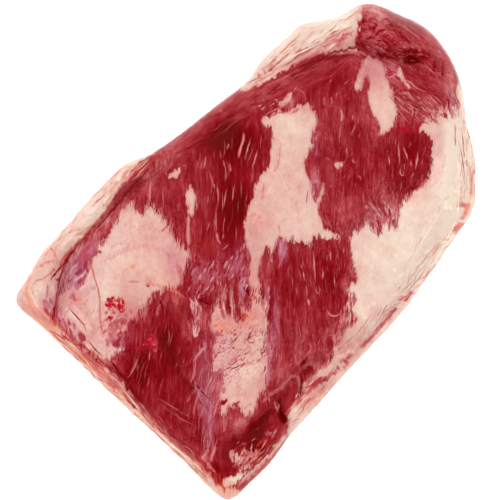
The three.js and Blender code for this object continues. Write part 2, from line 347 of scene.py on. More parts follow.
def slab_blank(name):
    """A unit sheet of cells whose rim is drawn down ring by ring and closed underneath."""
    bpy.ops.object.select_all(action="DESELECT")
    bpy.ops.mesh.primitive_grid_add(
        x_subdivisions=LENGTH_CELLS, y_subdivisions=WIDTH_CELLS, size=1, location=(0.5, 0.5, 0)
    )
    slab = bpy.context.object
    slab.name = name
    bpy.ops.object.transform_apply(location=True, rotation=True, scale=True)
    bpy.ops.object.mode_set(mode="EDIT")
    bpy.ops.mesh.select_mode(type="EDGE")
    bpy.ops.mesh.select_all(action="DESELECT")
    bpy.ops.mesh.select_non_manifold()
    for _ in range(UPPER_RINGS + LOWER_RINGS):
        bpy.ops.mesh.extrude_edges_move(TRANSFORM_OT_translate={"value": (0, 0, -1)})
    bpy.ops.mesh.edge_face_add()
    bpy.ops.object.mode_set(mode="OBJECT")
    return slab


def coordinates(piece):
    flat = np.empty(len(piece.data.vertices) * 3)
    piece.data.vertices.foreach_get("co", flat)
    return flat.reshape(-1, 3)


def place_vertices(piece, places):
    piece.data.vertices.foreach_set("co", places.ravel())
    piece.data.update()


def vertex_normals(piece):
    flat = np.empty(len(piece.data.vertices) * 3)
    piece.data.vertex_normals.foreach_get("vector", flat)
    return flat.reshape(-1, 3)


def crowded(share):
    return share - CELL_CROWDING * np.sin(2 * math.pi * share) / (2 * math.pi)


def side_lines():
    """For each side, its points on the outline and on the upper face's rim, with their running shares."""
    before, after = np.roll(outline, 1, axis=0), np.roll(outline, -1, axis=0)
    inwards = np.stack([before[:, 1] - after[:, 1], after[:, 0] - before[:, 0]], 1)
    inwards /= np.hypot(*inwards.T)[:, None]
    rim = outline[:, :2] + inwards * outline[:, 2:] * (1 - math.cos(ROLL_START))
    lines = []
    first = 0
    for side in SIDES:
        span = np.arange(first, first + len(side) * STEPS_PER_STATION + 1) % len(outline)
        first += len(side) * STEPS_PER_STATION
        pair = []
        for line in (outline[span, :2], rim[span]):
            shares = running_lengths(line)
            pair.append((shares / shares[-1], line))
        lines.append(pair)
    return lines


def mould(blank):
    """Plan place, height, side turn and distance from the edge of each of the blank's vertices.

    The side turn is 0 on the waist and above it, and 1 at the foot.
    """
    u, v, depth = blank[:, 0], blank[:, 1], -blank[:, 2]
    lines = side_lines()

    def at(side, level, share):
        shares, line = lines[side][level]
        return np.stack([np.interp(share, shares, line[:, 0]), np.interp(share, shares, line[:, 1])], 1)

    s, t = crowded(u), crowded(v)

    def blended(level):
        """The face drawn evenly between the four sides."""
        front, back = at(0, level, s), at(2, level, 1 - s)
        flat, end = at(3, level, 1 - t), at(1, level, t)
        corners = (
            (1 - s)[:, None] * ((1 - t)[:, None] * at(0, level, 0 * s) + t[:, None] * at(3, level, 0 * s))
            + s[:, None] * ((1 - t)[:, None] * at(1, level, 0 * s) + t[:, None] * at(2, level, 0 * s))
        )
        across = (1 - t)[:, None] * front + t[:, None] * back
        return across + (1 - s)[:, None] * flat + s[:, None] * end - corners

    rim, outer = blended(1), blended(0)
    ring = np.rint(depth).astype(int)
    upper, lower = (ring > 0) & (ring <= UPPER_RINGS), ring > UPPER_RINGS
    plan = rim.copy()

    angle = ROLL_START * (1 - ring[upper] / UPPER_RINGS)
    out = 1 - (1 - np.cos(angle)) / (1 - math.cos(ROLL_START))
    plan[upper] = rim[upper] + (outer[upper] - rim[upper]) * out[:, None]

    distance, roll = from_edge(plan[:, 0], plan[:, 1])
    distance[upper] = np.hypot(*(outer[upper] - rim[upper]).T) * (1 - out)
    height = np.zeros(len(plan))
    above = ~lower
    height[above] = upper_height(plan[above, 0], plan[above, 1], distance[above], roll[above])

    turn = np.zeros(len(plan))
    turn[lower] = (ring[lower] - UPPER_RINGS) / LOWER_RINGS
    inwards = rim[lower] - outer[lower]
    inwards /= np.hypot(*inwards.T)[:, None]
    waist = WAIST_SHARE * crown_height(outer[lower, 0], outer[lower, 1])
    quarter = turn[lower] * math.pi / 2
    plan[lower] = outer[lower] + inwards * (UNDERCUT_SHARE * waist * (1 - np.cos(quarter)))[:, None]
    height[lower] = waist * (1 - np.sin(quarter))
    distance[lower] = 0
    return plan, height, turn, distance


# ---- Marks on the meat: each is drawn on the grid and kept as a value at every vertex ----
EDGE_DEPTH = 6.0  # how far to both sides of an outline the distance from it is kept
EDGE_REACH = 14.0  # how far beyond an outline the torn grain can pull a mark
STROKE_REACH = 3.0
STROKE_TAPER = 7.0  # length over which a stroke narrows at its ends


class Marks:
    """Paints on the vertices of the meat. A channel holds one kind of mark, and sizes are millimetres."""

    def __init__(self, x, y):
        self.x, self.y = x, y
        self.channels = {}
        wild = 0.75 + 0.6 * unevenness(x / 23, y / 23, 10)
        pull = wild * (4.5 * fibres(x, y, 15, 3.6, 11) + 2.6 * fibres(x, y, 7, 1.9, 12))
        self.pull_x = pull * math.cos(GRAIN_HEADING) + 0.9 * unevenness(x / 5, y / 5, 13)
        self.pull_y = pull * math.sin(GRAIN_HEADING) + 0.9 * unevenness(x / 5, y / 5, 14)

    def channel(self, name, start=0.0):
        return self.channels.setdefault(name, np.full(self.x.shape, start))

    def near(self, points, reach, torn):
        """The vertices near these points, with their places pulled about by the torn grain."""
        low, high = points[:, :2].min(0) - reach, points[:, :2].max(0) + reach
        in_x, in_y = (self.x > low[0]) & (self.x < high[0]), (self.y > low[1]) & (self.y < high[1])
        at = np.flatnonzero(in_x & in_y)
        return at, self.x[at] + torn * self.pull_x[at], self.y[at] + torn * self.pull_y[at]

    def inside(self, squares, torn):
        """Distance inside a closed outline, below zero outside it, for the vertices near it."""
        line = smooth_line(on_meat(squares), closed=True, steps=3)
        loop = np.vstack([line, line[:1]])
        at, x, y = self.near(loop, EDGE_REACH, torn)
        distance, _, _ = nearest(loop, x, y)
        within = np.zeros(len(at), bool)
        for a, b in zip(loop[:-1], loop[1:]):
            if a[1] != b[1]:
                crosses = (a[1] > y) != (b[1] > y)
                within ^= crosses & (x < a[0] + (y - a[1]) * (b[0] - a[0]) / (b[1] - a[1]))
        return at, np.where(within, distance, -distance)

    def depth(self, name, squares, torn=1.0, most=EDGE_DEPTH):
        """Keeps the distance inside the outline, for an edge that is cut at zero later."""
        values = self.channel(name, -EDGE_DEPTH)
        at, distance = self.inside(squares, torn)
        values[at] = np.maximum(values[at], np.clip(distance, -EDGE_DEPTH, most))

    def area(self, name, squares, strength, soft=3.0, torn=0.6):
        """Blends a channel to this strength inside an outline."""
        values = self.channel(name)
        at, distance = self.inside(squares, torn)
        values[at] += (strength - values[at]) * smooth_step(-soft, soft, distance)

    def dab(self, name, right, down, long, short, strength, turn=0.0, torn=0.6):
        """Adds a soft oval that lies along the grain, turned from it by some degrees."""
        values = self.channel(name)
        (x, y), = on_meat([(right, down)])
        heading = GRAIN_HEADING + math.radians(turn)
        along, across = turned(self.x + torn * self.pull_x - x, self.y + torn * self.pull_y - y, heading)
        values += strength * np.exp(-((along / long) ** 2) - (across / short) ** 2)

    def dabs(self, name, rows):
        for row in rows:
            self.dab(name, *row)

    def along(self, width, squares, taper, torn):
        """The vertices on a stroke that narrows to nothing at both ends, and their shares of it."""
        course = smooth_line(on_meat(squares), steps=5)
        lengths = running_lengths(course)
        at, x, y = self.near(course, width + STROKE_REACH, torn)
        distance, stretch, where = nearest(course, x, y)
        run = lengths[stretch] + where * (lengths[stretch + 1] - lengths[stretch])
        end = np.minimum(run, lengths[-1] - run) / min(taper, 0.3 * lengths[-1])
        half = width / 2 * np.sqrt(np.clip(end, 0, 1))
        return at, smooth_step(0.9, -0.7, distance - half) * np.clip(0.35 + end, 0, 1)

    def line(self, name, width, strength, squares, taper=STROKE_TAPER, torn=0.0):
        """Raises a channel to this strength along a stroke."""
        values = self.channel(name)
        at, share = self.along(width, squares, taper, torn)
        values[at] = np.maximum(values[at], strength * share)

    def stroke(self, width, tone, strength, hue, squares, taper=STROKE_TAPER, torn=0.6):
        """Lays a stroke of this tone over what is there. Hue is violet below zero and salmon above it."""
        at, share = self.along(width, squares, taper, torn if width > 2 else 0.5 * torn)
        share = share * strength
        looks = {"stroke_tone": tone, "stroke": 1.0, "violet": max(-hue, 0), "salmon": max(hue, 0)}
        for name, value in looks.items():
            values = self.channel(name)
            values[at] += (value - values[at]) * share


STROKE_BOW = 0.15


def short_stroke(draw, middle, length, width, strength, heading, spread):
    """A short bowed stroke at a place on the grid, close to a heading, with its width and strength."""
    way = math.radians(heading + draw.normal(0, spread))
    half = np.array([math.cos(way), -math.sin(way)]) * draw.uniform(*length) / 2 / GRID_SQUARE
    bow = np.array([half[1], -half[0]]) * draw.normal(0, STROKE_BOW)
    course = [middle - half, middle + bow, middle + half]
    return draw.uniform(*width), draw.uniform(*strength), course


def scattered(squares, count, length, width, strength, seed, heading, spread=7.0):
    """Short strokes scattered inside an outline on the grid."""
    draw = np.random.default_rng(seed)
    corners = np.array(squares, float)
    low, high = corners.min(0), corners.max(0)
    strokes = []
    while len(strokes) < count:
        middle = draw.uniform(low, high)
        within = False
        for a, b in zip(corners, np.roll(corners, -1, axis=0)):
            if (a[1] > middle[1]) != (b[1] > middle[1]):
                within ^= middle[0] < a[0] + (middle[1] - a[1]) * (b[0] - a[0]) / (b[1] - a[1])
        if within:
            strokes.append(short_stroke(draw, middle, length, width, strength, heading, spread))
    return strokes


def fringe(edge, count, length, width, strength, seed, heading, spread=9.0):
    """Short strokes across an edge drawn on the grid."""
    draw = np.random.default_rng(seed)
    corners = np.array(edge, float)
    strokes = []
    for i, share in zip(draw.integers(0, len(corners) - 1, count), draw.random(count)):
        middle = corners[i] + share * (corners[i + 1] - corners[i])
        strokes.append(short_stroke(draw, middle, length, width, strength, heading, spread))
    return strokes


# where fat lies over or between the muscles
FLAT_END_FAT = places_of("""
125 208, 129 204, 133 205, 137 209, 143 212, 148 205, 151 204, 155 209, 160 215, 165 219, 169 224, 172 231,
175 239, 181 246, 189 249, 190 256, 188 264, 185 272, 182 284, 173 288, 166 289, 160 292, 153 296, 148 303,
143 311, 138 317, 133 323, 128 334, 124 344, 120 351, 115 357, 106 361, 97 356, 88 350, 79 343, 70 334,
62 326, 57 316, 58 304, 60 290, 66 285, 76 286, 84 281, 87 272, 90 262, 95 252, 100 244, 107 238, 111 230,
115 221, 119 214
""")
LOWER_FAT = places_of("""
211 312, 214 306, 217 302, 219 294, 220 305, 223 301, 224 291, 227 285, 226 298, 226 308, 229 316, 231 309,
230 296, 231 287, 233 298, 234 312, 238 321, 244 317, 241 308, 241 298, 245 308, 249 307, 251 299, 250 291,
260 290, 261 300, 264 304, 266 296, 268 285, 269 298, 267 312, 267 324, 267 336, 272 346, 274 354, 271 364,
271 374, 268 384, 262 392, 258 400, 255 410, 249 416, 242 414, 236 405, 229 410, 222 418, 219 412, 221 402,
219 393, 222 384, 222 377, 215 375, 212 366, 213 356, 212 345, 213 336, 210 328, 210 320
""")
SEAM_FAT = places_of("""
262 119, 262 126, 267 127, 271 130, 273 137, 271 144, 270 153, 270 161, 267 168, 261 175, 257 181, 254 190,
251 199, 248 208, 246 216, 244 222, 244 232, 246 241, 248 252, 250 263, 249 274, 248 284, 251 293, 255 302,
260 300, 261 288, 259 277, 260 266, 263 256, 267 246, 270 252, 272 259, 275 246, 279 237, 284 240, 288 244,
292 239, 297 243, 301 240, 306 243, 311 245, 316 239, 321 236, 327 241, 333 238, 341 241, 340 236, 333 231,
326 226, 322 219, 320 210, 320 203, 323 196, 325 189, 322 183, 319 190, 315 199, 313 190, 312 180, 308 177,
305 168, 305 160, 308 153, 314 148, 312 139, 314 131, 317 124, 317 116, 313 108, 308 103, 301 105, 294 108,
286 110, 278 113, 270 116, 266 115
""")
POINT_FAT = places_of("""
363 60, 361 66, 358 72, 356 78, 354 84, 355 89, 359 91, 362 88, 365 82, 367 77, 369 83, 369 90, 368 96,
369 103, 371 110, 374 116, 378 122, 380 128, 379 135, 383 134, 388 131, 392 127, 395 120, 397 114, 396 106,
394 98, 392 90, 389 83, 386 76, 385 68, 381 62, 376 59, 370 57
""")
FRONT_FAT = places_of("""
349 240, 350 250, 352 262, 355 271, 357 280, 350 285, 345 289, 352 296, 355 302, 346 309, 357 317, 353 323,
345 328, 341 334, 340 341, 332 348, 333 356, 326 364, 318 371, 310 378, 303 384, 299 396, 291 408, 287 424,
288 440, 330 430, 440 320, 490 220, 480 120, 463 80, 457 84, 455 90, 456 97, 459 106, 456 111, 451 110,
446 111, 441 114, 436 119, 430 122, 424 123, 420 128, 421 132, 426 134, 431 137, 433 143, 431 151, 431 161,
430 172, 427 180, 420 187, 412 193, 405 199, 400 206, 398 217, 396 227, 391 219, 385 222, 381 228, 378 233,
374 228, 371 223, 366 221, 361 227, 355 231, 350 236
""")
BACK_FAT = places_of("""
57 292, 62 275, 68 260, 76 249, 84 239, 93 228, 102 217, 107 207, 113 198, 117 189, 123 180, 130 172,
137 166, 143 160, 146 155, 140 140, 80 170, 20 240, 5 300, 30 312, 42 318, 50 322, 54 308
""")
POINT_BACK_FAT = places_of("""
243 92, 254 87, 264 84, 277 78, 291 71, 306 62, 320 56, 334 54, 347 54, 359 52, 355 41, 357 35, 360 29,
357 21, 361 12, 363 3, 350 -10, 280 30, 235 80
""")
FLAT_RIM_FAT = places_of("""
46 316, 56 325, 66 333, 77 342, 87 350, 97 359, 107 367, 117 378, 127 390, 137 402, 147 415, 161 431,
179 447, 199 464, 214 479, 224 489, 236 488, 250 500, 215 520, 140 460, 80 400, 20 340, 10 310, 30 305
""")
SMALL_FATS = [
    places_of("279 103, 283 101, 287 96, 290 92, 293 94, 292 99, 288 104, 283 107"),
    places_of("169 178, 171 173, 174 170, 177 170, 180 168, 180 173, 178 178, 174 179"),
    places_of("""
190 184, 193 188, 195 193, 196 200, 196 206, 194 214, 191 217, 188 213, 188 206, 186 199, 186 193, 188 188
    """),
    places_of("334 166, 338 163, 344 161, 342 165, 337 169"),
    places_of("224 479, 229 476, 236 476, 241 471, 247 472, 240 478, 236 484, 228 487, 222 485"),
    places_of("396 75, 397 70, 399 66, 401 71, 404 79, 408 84, 412 89, 406 87, 402 81"),
]
# fat so thin or broken that the lean shows through it in spots
BROKEN_FATS = [
    places_of("""
229 452, 234 449, 238 456, 246 451, 257 450, 258 455, 247 462, 252 466, 244 471, 238 468, 232 462
    """),
    places_of("192 300, 199 303, 202 312, 198 322, 200 332, 194 338, 192 326, 194 316, 190 306"),
    places_of("""
350 285, 346 289, 348 298, 343 307, 342 316, 338 326, 333 338, 335 346, 342 340, 352 330, 357 312, 356 295
    """),
    places_of("442 106, 448 104, 454 106, 458 112, 450 118, 440 120, 428 124, 424 118, 434 112"),
]

# tones and hues of the lean and the fat: grid place, length along the grain, width across it, change, and
# the turn from the grain where there is one
# some rows lighten the back slope, the lump and the hollow at the point: painted light against the shade
# that falls on them
LEAN_TONES = rows_of("""
240 140 16 16 -.22; 228 165 30 13 -.12; 232 208 28 13 -.2; 214 148 12 12 -.08; 240 228 18 7 -.1
165 347 20 14 -.2; 140 385 26 18 -.1; 180 400 26 16 -.06; 205 436 8 16 -.1; 256 427 9 22 -.2
225 465 14 8 -.14; 280 404 12 6 -.15; 232 441 7 14 -.12; 334 286 24 12 -.15; 293 288 22 10 -.08
410 150 24 15 -.14; 405 186 12 16 -.1; 412 55 9 12 .12; 334 80 9 12 -.1; 356 135 14 8 -.12
355 180 6 10 -.14; 325 120 14 10 -.02; 172 290 9 14 -.05; 200 122 9 42 .03 35; 242 97 11 40 .06 30
176 148 8 22 .05 45; 285 84 9 30 .05 25; 345 212 18 18 .13; 430 34 18 30 .09 -45; 385 22 14 18 .05
450 80 24 8 .1 15; 298 345 18 14 .12; 284 376 16 10 .14; 270 335 20 6 .1; 204 277 16 18 .1
236 262 12 12 .08; 150 192 10 14 .07; 112 216 7 20 .28 45; 80 250 10 16 .22 35; 402 120 7 12 .1
422 104 9 16 .08; 182 200 22 8 .05; 165 312 18 8 .05; 375 210 10 10 .1; 258 440 12 12 .08 -40
285 432 9 12 .1 -40; 300 170 30 6 .05; 70 270 22 12 .26; 50 304 12 8 .26; 72 332 8 16 .2 -45
205 365 26 7 .16; 210 425 24 6 .2; 222 440 8 8 .06; 310 320 14 10 .03; 224 134 13 12 -.14
212 152 16 14 -.05; 240 205 16 9 -.1; 222 215 22 9 -.07; 252 150 16 8 -.08; 185 183 14 10 -.06
230 256 7 9 -.14; 203 268 12 9 -.06; 157 295 6 6 -.2; 168 340 24 9 -.12; 140 367 14 11 -.14
160 382 14 6 -.08; 115 345 8 6 -.1; 186 356 10 8 -.08; 130 397 6 28 -.08 -45; 186 418 6 14 -.1 -45
205 392 12 5 -.16; 218 386 14 4 .15; 235 412 10 9 .15; 242 425 7 7 .15; 225 432 8 6 .06; 255 437 13 8 -.22
252 452 5 6 -.2; 240 478 6 6 .15; 314 186 18 5 .16; 311 150 16 4 .1; 385 212 14 12 .16; 395 203 5 5 .12
378 230 7 8 .15; 366 108 20 5 .12; 378 133 6 4 .12; 392 63 5 8 .22; 364 36 5 5 .15; 292 103 5 6 .15
268 107 4 7 .1; 397 78 5 6 .15; 403 86 4 8 .12; 436 80 5 5 .15; 417 122 4 4 .12; 86 262 7 6 .1
60 284 8 4 .15; 96 236 8 12 .16 45; 150 166 6 22 .14 42; 140 207 5 3 .16; 168 210 14 4 .08; 175 297 6 6 .2
200 320 9 7 .15; 233 292 6 4 .12; 239 305 8 4 .2; 190 336 8 4 .1; 155 343 8 5 .18; 145 317 5 6 .18
110 363 4 8 .15; 262 260 14 5 .1; 268 275 10 4 .1; 290 245 5 3 .12; 345 235 8 6 .12; 351 265 10 4 .12
344 286 7 5 .12; 322 125 12 6 .08; 272 345 8 5 .1; 285 410 8 5 .1; 326 358 6 12 .1 -45; 206 457 6 4 .15
275 300 20 5 -.06; 325 275 24 12 -.05; 166 320 14 5 -.08; 205 300 6 6 -.05; 372 165 16 12 -.04
226 134 12 12 -.1; 240 207 8 6 -.12; 212 207 12 5 -.05; 222 228 5 6 -.08; 168 345 14 8 -.08
140 370 10 9 -.1; 115 347 7 5 -.08; 205 392 8 4 -.1; 305 395 4 10 -.1 -45; 237 465 5 4 -.12; 58 285 9 4 .12
240 238 10 4 .12; 216 240 6 3 .1; 235 293 5 4 .1; 240 305 6 4 .1; 110 365 5 8 .1; 226 425 8 6 .08
240 425 6 6 .12; 330 310 14 5 .14; 336 326 8 5 .1; 310 366 6 8 .1; 326 370 4 8 .1; 278 345 8 5 .07
278 372 8 5 .07; 343 283 6 5 .1; 272 262 12 4 .08; 327 228 4 6 .12; 316 190 10 4 .12; 385 196 5 8 .1
381 230 6 6 .12; 394 216 12 5 .14; 371 215 8 5 .1; 418 182 5 6 .14; 366 95 8 4 .08; 373 121 8 4 .08
395 68 5 6 .1; 452 100 12 5 .16; 460 98 12 4 .12; 204 124 8 30 -.05 35; 190 236 14 4 .08
185 138 6 16 .08 35; 215 118 6 26 .03 30; 262 96 8 28 .05 30; 380 25 14 16 .06; 415 38 16 24 .04
437 72 14 14 .06; 452 84 12 6 .06; 345 120 26 26 .04; 368 180 20 16 .03; 330 60 6 20 .06 25
100 360 4 16 -.1 -45; 226 137 13 12 -.15; 203 390 10 4 -.1; 270 310 14 6 -.08; 256 412 10 8 .12
236 430 8 8 .12; 245 299 6 4 .1; 86 262 6 6 .1; 61 283 8 4 .14; 385 228 12 10 .14; 392 80 6 6 .1
430 102 12 5 .1; 374 11 6 14 .2 -45; 292 100 8 8 .1; 316 188 14 4 .1; 324 334 6 6 .12; 340 304 16 5 .08
155 347 12 4 .12; 297 402 5 5 -.1; 190 443 5 16 .1 -45; 216 390 24 3 .1; 205 135 8 20 -.06 35
404 22 8 16 -.12 -25; 372 14 10 14 .14; 447 92 10 6 .14; 457 76 6 6 -.1; 427 55 5 5 -.1
208 127 6 18 .04 35
168 160 5 8 .16 40; 152 160 4 5 -.14 40; 150 178 6 8 .18 40; 122 190 5 12 .12 45; 104 206 5 14 .12 45
262 440 8 8 -.12; 253 448 6 8 -.1; 384 112 30 26 .04; 330 140 30 14 .04; 352 225 18 10 .06; 250 88 5 8 .12
163 165 6 12 .08 40; 120 360 8 6 -.06; 260 438 8 8 -.14; 378 46 14 7 .2; 352 52 18 4 .12 0
228 134 10 9 -.14; 60 281 9 4 .16; 86 264 6 6 .16; 132 345 6 6 -.1; 138 369 9 8 -.1; 166 339 9 8 -.1
192 366 5 8 -.1; 161 381 8 6 -.07; 117 366 6 5 .14; 205 391 8 5 -.1; 205 441 8 5 -.07; 246 422 6 8 .14
254 457 4 7 -.14; 237 457 4 4 -.1; 213 468 5 4 -.1; 341 202 8 6 -.1; 378 207 5 5 -.1; 396 214 10 4 .12
317 189 9 5 .1; 320 115 8 5 -.08; 350 102 9 5 -.12; 332 161 6 6 -.08; 427 112 6 5 .12; 423 137 5 5 .12
286 106 5 6 .08; 295 86 6 5 .08; 392 27 5 5 -.1; 353 270 10 4 .12; 326 226 4 6 .1; 385 186 5 7 .1
188 338 8 4 .1; 156 358 8 4 .1; 316 366 4 10 .1 -35
""")
FAT_TONES = rows_of("""
290 128 22 18 .05; 297 124 10 8 .03; 300 215 20 24 .03; 400 265 60 60 .1; 455 170 70 16 .12
420 225 30 40 .05; 440 160 20 7 -.03; 425 188 6 18 -.03 -45; 365 235 9 14 -.03; 130 320 22 18 -.13
176 272 22 12 -.09; 74 302 20 16 -.12; 84 330 18 12 -.08; 150 240 14 30 -.04; 135 262 12 22 .03
250 318 12 16 -.08; 222 325 14 8 -.06; 240 350 60 24 -.045; 240 385 16 12 .04; 255 265 30 7 -.07
262 215 14 12 -.04; 316 186 14 6 -.1; 372 70 16 14 -.16; 382 110 18 12 .02; 45 300 22 12 -.08
98 204 12 50 .09 45; 140 162 8 24 .06 42; 335 45 8 28 -.1 35; 300 60 6 26 -.08 35; 300 35 12 60 .08 35
60 338 10 40 -.1 -45; 150 425 8 80 -.04 -45; 345 345 12 16 -.07 -45; 320 390 14 40 -.1 -45
235 485 8 14 -.04; 446 185 30 12 .06; 470 165 30 4 .14; 458 226 10 7 .12; 340 302 24 5 -.2
333 330 14 5 -.1
80 312 14 12 .06; 345 20 10 14 .08; 285 68 4 20 .06 30; 255 370 20 10 .05; 440 102 8 6 -.2; 235 478 6 8 .1
375 325 6 30 .08 -45; 170 442 6 50 .12 -45; 60 340 6 20 .1 -45; 110 388 5 24 .08 -45; 252 455 6 6 -.2
262 378 8 5 -.08; 385 316 4 10 -.08 -45; 462 98 12 5 .1; 118 250 18 16 .04; 104 290 20 12 .06
461 172 30 5 .08; 284 56 5 8 .08; 138 228 10 10 .03; 240 372 10 8 .06; 255 340 12 8 .04; 40 290 12 10 .1
320 38 6 22 .09 35; 345 28 8 14 .08; 450 130 30 8 .05; 440 190 24 10 .04; 270 455 6 20 .1 -42
300 415 5 14 .08 -42; 432 258 6 22 .08 40; 262 230 10 8 -.04; 248 390 14 9 -.01; 57 256 8 6 -.06
120 178 6 16 -.14 45; 72 342 4 16 .06 -45; 130 396 4 18 -.1 -45; 243 480 6 8 .14; 345 288 8 5 .1
254 388 9 14 -.05; 312 57 4 10 -.1 20; 135 270 20 16 -.03; 425 205 20 12 -.02; 460 185 20 4 .1
""")
VIOLETS = rows_of("""
78 268 14 9 .9; 72 285 10 8 .8; 50 304 12 8 .9; 74 330 8 18 .8 -45; 98 262 8 12 .4; 92 245 8 8 .5
204 368 26 8 .5; 209 420 24 7 .6; 236 260 14 12 .7; 205 275 14 16 .5; 246 285 12 6 .7; 282 250 14 6 .8
314 188 14 4 1; 317 150 12 4 .7; 276 335 30 6 .5; 225 355 24 8 .35; 172 265 22 9 .35; 118 342 9 10 .7
90 290 14 10 .4; 370 66 14 14 .4; 266 290 14 5 .5; 392 75 8 12 .3; 108 240 6 12 .5; 455 108 12 5 .7
392 215 10 8 .6; 150 200 10 24 .25; 196 315 16 6 .6; 300 345 16 12 .2
""")
SALMONS = rows_of("""
78 350 9 44 .6 -45; 100 378 7 40 .6 -45; 50 332 8 20 .6 -45; 31 296 18 5 .7 20; 38 262 22 4 .7 -25
64 236 6 26 .3 45; 130 168 6 18 .5 35; 100 200 4 40 .2 45; 248 318 10 12 .35; 224 327 5 8 .9
217 325 5 3 .8
256 290 10 5 .35; 252 216 9 12 .35; 165 285 5 20 .6 -60; 170 440 5 90 .6 -42; 467 205 20 6 .9 15
455 230 20 5 .7 30; 305 402 12 8 .6 45; 320 395 6 24 .5 -42; 225 490 8 18 .7; 262 468 6 30 .5 -40
132 266 3 5 .8; 80 300 4 6 .7; 205 245 6 12 .3; 265 80 4 20 .6 30
""")

WIDE_STRAND = 1.9  # strands this wide are painted, and narrower ones are laid on as cords
THIN = 1.55  # strokes thinner than this are laid on as cords too
FLECK_TAPER = 4.0

# pale strands of fat and sinew in the lean, and a few painted glints of the film by the front fat and at
# the point: width, strength, course
STRANDS = rows_of("""
2.6 .9: 244 131, 243 140, 240 150, 238 160
1.5 .8: 251 137, 248 148, 244 160
1.7 .85: 258 149, 252 170
1 .5: 254 147, 247 163
1.2 .6: 229 143, 227 150
1.2 .7: 223 160, 225 168
2 .8: 229 162, 231 174
1.2 .6: 227 172, 225 182
1.4 .8: 206 155, 205 163, 203 170
1.2 .6: 202 160, 201 170
2.4 .6: 209 170, 213 185
1.2 .7: 213 182, 215 189
1.6 .6: 217 181, 218 195, 218 208
1.2 .7: 227 187, 223 210
1.3 .7: 233 185, 233 195, 232 202
1.3 .7: 216 208, 216 234
2 .9: 216 232, 218 239, 221 245
1.1 .7: 224 233, 222 240
1.2 .6: 229 243, 224 249, 221 250
2 .75: 151 179, 150 190, 150 206
1.3 .5: 164 182, 163 195, 164 212
1.2 .6: 171 214, 171 228
1 .5: 193 149, 193 155
1 .4: 220 150, 221 160
1 .5: 170 168, 166 172, 168 178
1 .6: 180 168, 185 165, 186 171
1.4 .6: 217 109, 221 111, 223 114
3.4 .8: 189 212, 188 230, 189 248
1.5 .8: 313 248, 315 276, 316 284
1.1 .7: 317 284, 316 290, 318 294, 320 290, 318 285
1.5 .8: 303 270, 305 282
2.3 .95: 308 298, 309 306
1.1 .6: 306 284, 308 297
1.3 .7: 323 268, 323 280
1.3 .8: 330 250, 331 262
1 .6: 327 254, 327 262
1.1 .7: 334 275, 335 288
1 .5: 300 262, 302 270
1.1 .5: 296 285, 297 296
1.1 .5: 292 275, 293 290
2.6 .55: 286 240, 285 252, 281 262, 277 272
1 .6: 344 247, 343 254
1.8 .75: 326 308, 330 315, 336 316, 343 312
1.5 .6: 327 336, 333 335, 341 335
1.3 .5: 320 339, 317 346
1.8 .5: 302 358, 308 354, 311 348, 309 340
2.2 .5: 262 402, 272 393, 284 385, 292 376, 298 373, 300 377
1.6 .7: 296 378, 300 384, 297 396
1.4 .6: 275 400, 279 406, 276 414
1.2 .5: 266 428, 270 433, 274 431
1.2 .2: 156 401, 172 413, 202 430
1.6 .6: 138 357, 134 368, 128 379
1.2 .5: 150 350, 149 362
1.4 .65: 196 360, 199 353, 204 347
1.2 .6: 190 384, 197 370
1.4 .6: 215 377, 206 396
1.3 .5: 213 402, 211 414, 206 424
1.4 .6: 219 436, 215 446, 211 456, 214 462
1.5 .6: 228 414, 224 434
1.8 .6: 243 283, 245 277, 247 284
1.4 .5: 241 294, 243 307
1.8 .7: 226 281, 224 300
1.4 .6: 232 290, 234 304
2.5 .85: 341 108, 342 116, 341 124
1.1 .7: 341 122, 339 145
1.1 .7: 324 95, 324 107
1.3 .6: 331 96, 332 102, 330 106
1 .6: 337 92, 336 97
1 .6: 343 85, 349 80
1 .6: 329 83, 332 79
1.3 .6: 353 114, 352 121
1.1 .6: 357 122, 350 137
1.3 .7: 347 146, 347 155
1.9 .6: 321 129, 317 136, 314 143
2.4 .45: 317 138, 317 158
1.5 .7: 353 158, 354 164
1 .5: 325 158, 331 160
1 .5: 356 178, 358 176, 361 178, 360 182
1 .5: 329 188, 334 184
1.5 .8: 398 143, 400 165
1.3 .8: 388 155, 390 166
1.5 .85: 403 146, 406 154, 408 161
1.1 .7: 402 165, 400 172, 403 176, 404 169
1.5 .9: 418 150, 417 160, 415 171
1.1 .6: 411 160, 411 167
1.1 .6: 414 172, 411 179
1.1 .5: 410 142, 411 146
2.2 .4: 381 185, 373 190, 371 199
1.2 .5: 363 190, 364 205
1.4 .8: 369 203, 374 209, 381 213
1.7 .8: 371 215, 376 222, 380 231
1.5 .8: 378 212, 383 219, 388 223
1.3 .7: 373 220, 376 228
1.6 1: 388 203, 396 221
1.5 1: 396 205, 397 215, 396 228
1.4 .9: 392 215, 391 228
1.3 1: 386 207, 389 217
1.5 .9: 385 79, 391 77, 400 72
1.3 .9: 395 76, 399 79, 404 80, 411 83, 416 88, 424 91, 429 92
1.3 .8: 429 92, 431 98, 436 103, 442 109
1.2 .7: 430 94, 437 99, 443 105
1.1 .7: 397 91, 404 94, 413 96
1.1 .6: 393 95, 399 88
1.1 .7: 396 97, 403 102, 409 107
1.1 .8: 403 100, 410 105, 416 110
1.1 .7: 396 104, 409 113
1.1 .8: 413 109, 412 118
1.1 .7: 417 110, 415 117
1.3 .6: 423 59, 425 65, 431 71, 439 79
1 .5: 405 63, 409 67, 413 72
1.7 .6: 451 66, 450 78, 446 99
1.8 .8: 437 50, 440 55
1.3 .8: 424 115, 431 123
1.3 .8: 430 105, 437 112, 444 118
1.3 .7: 422 103, 431 112, 438 121
1.3 1: 455 103, 456 113
1.3 1: 458 109, 458 118
1.1 .9: 453 111, 452 119
1.3 .6: 293 92, 296 88, 297 84
1.3 .5: 295 90, 302 91, 306 98
1.6 .5: 262 119, 270 112, 292 104
1.2 .5: 308 190, 306 204
1.6 .6: 203 455, 208 450, 209 440
1.5 .6: 232 468, 238 464, 240 470
""")

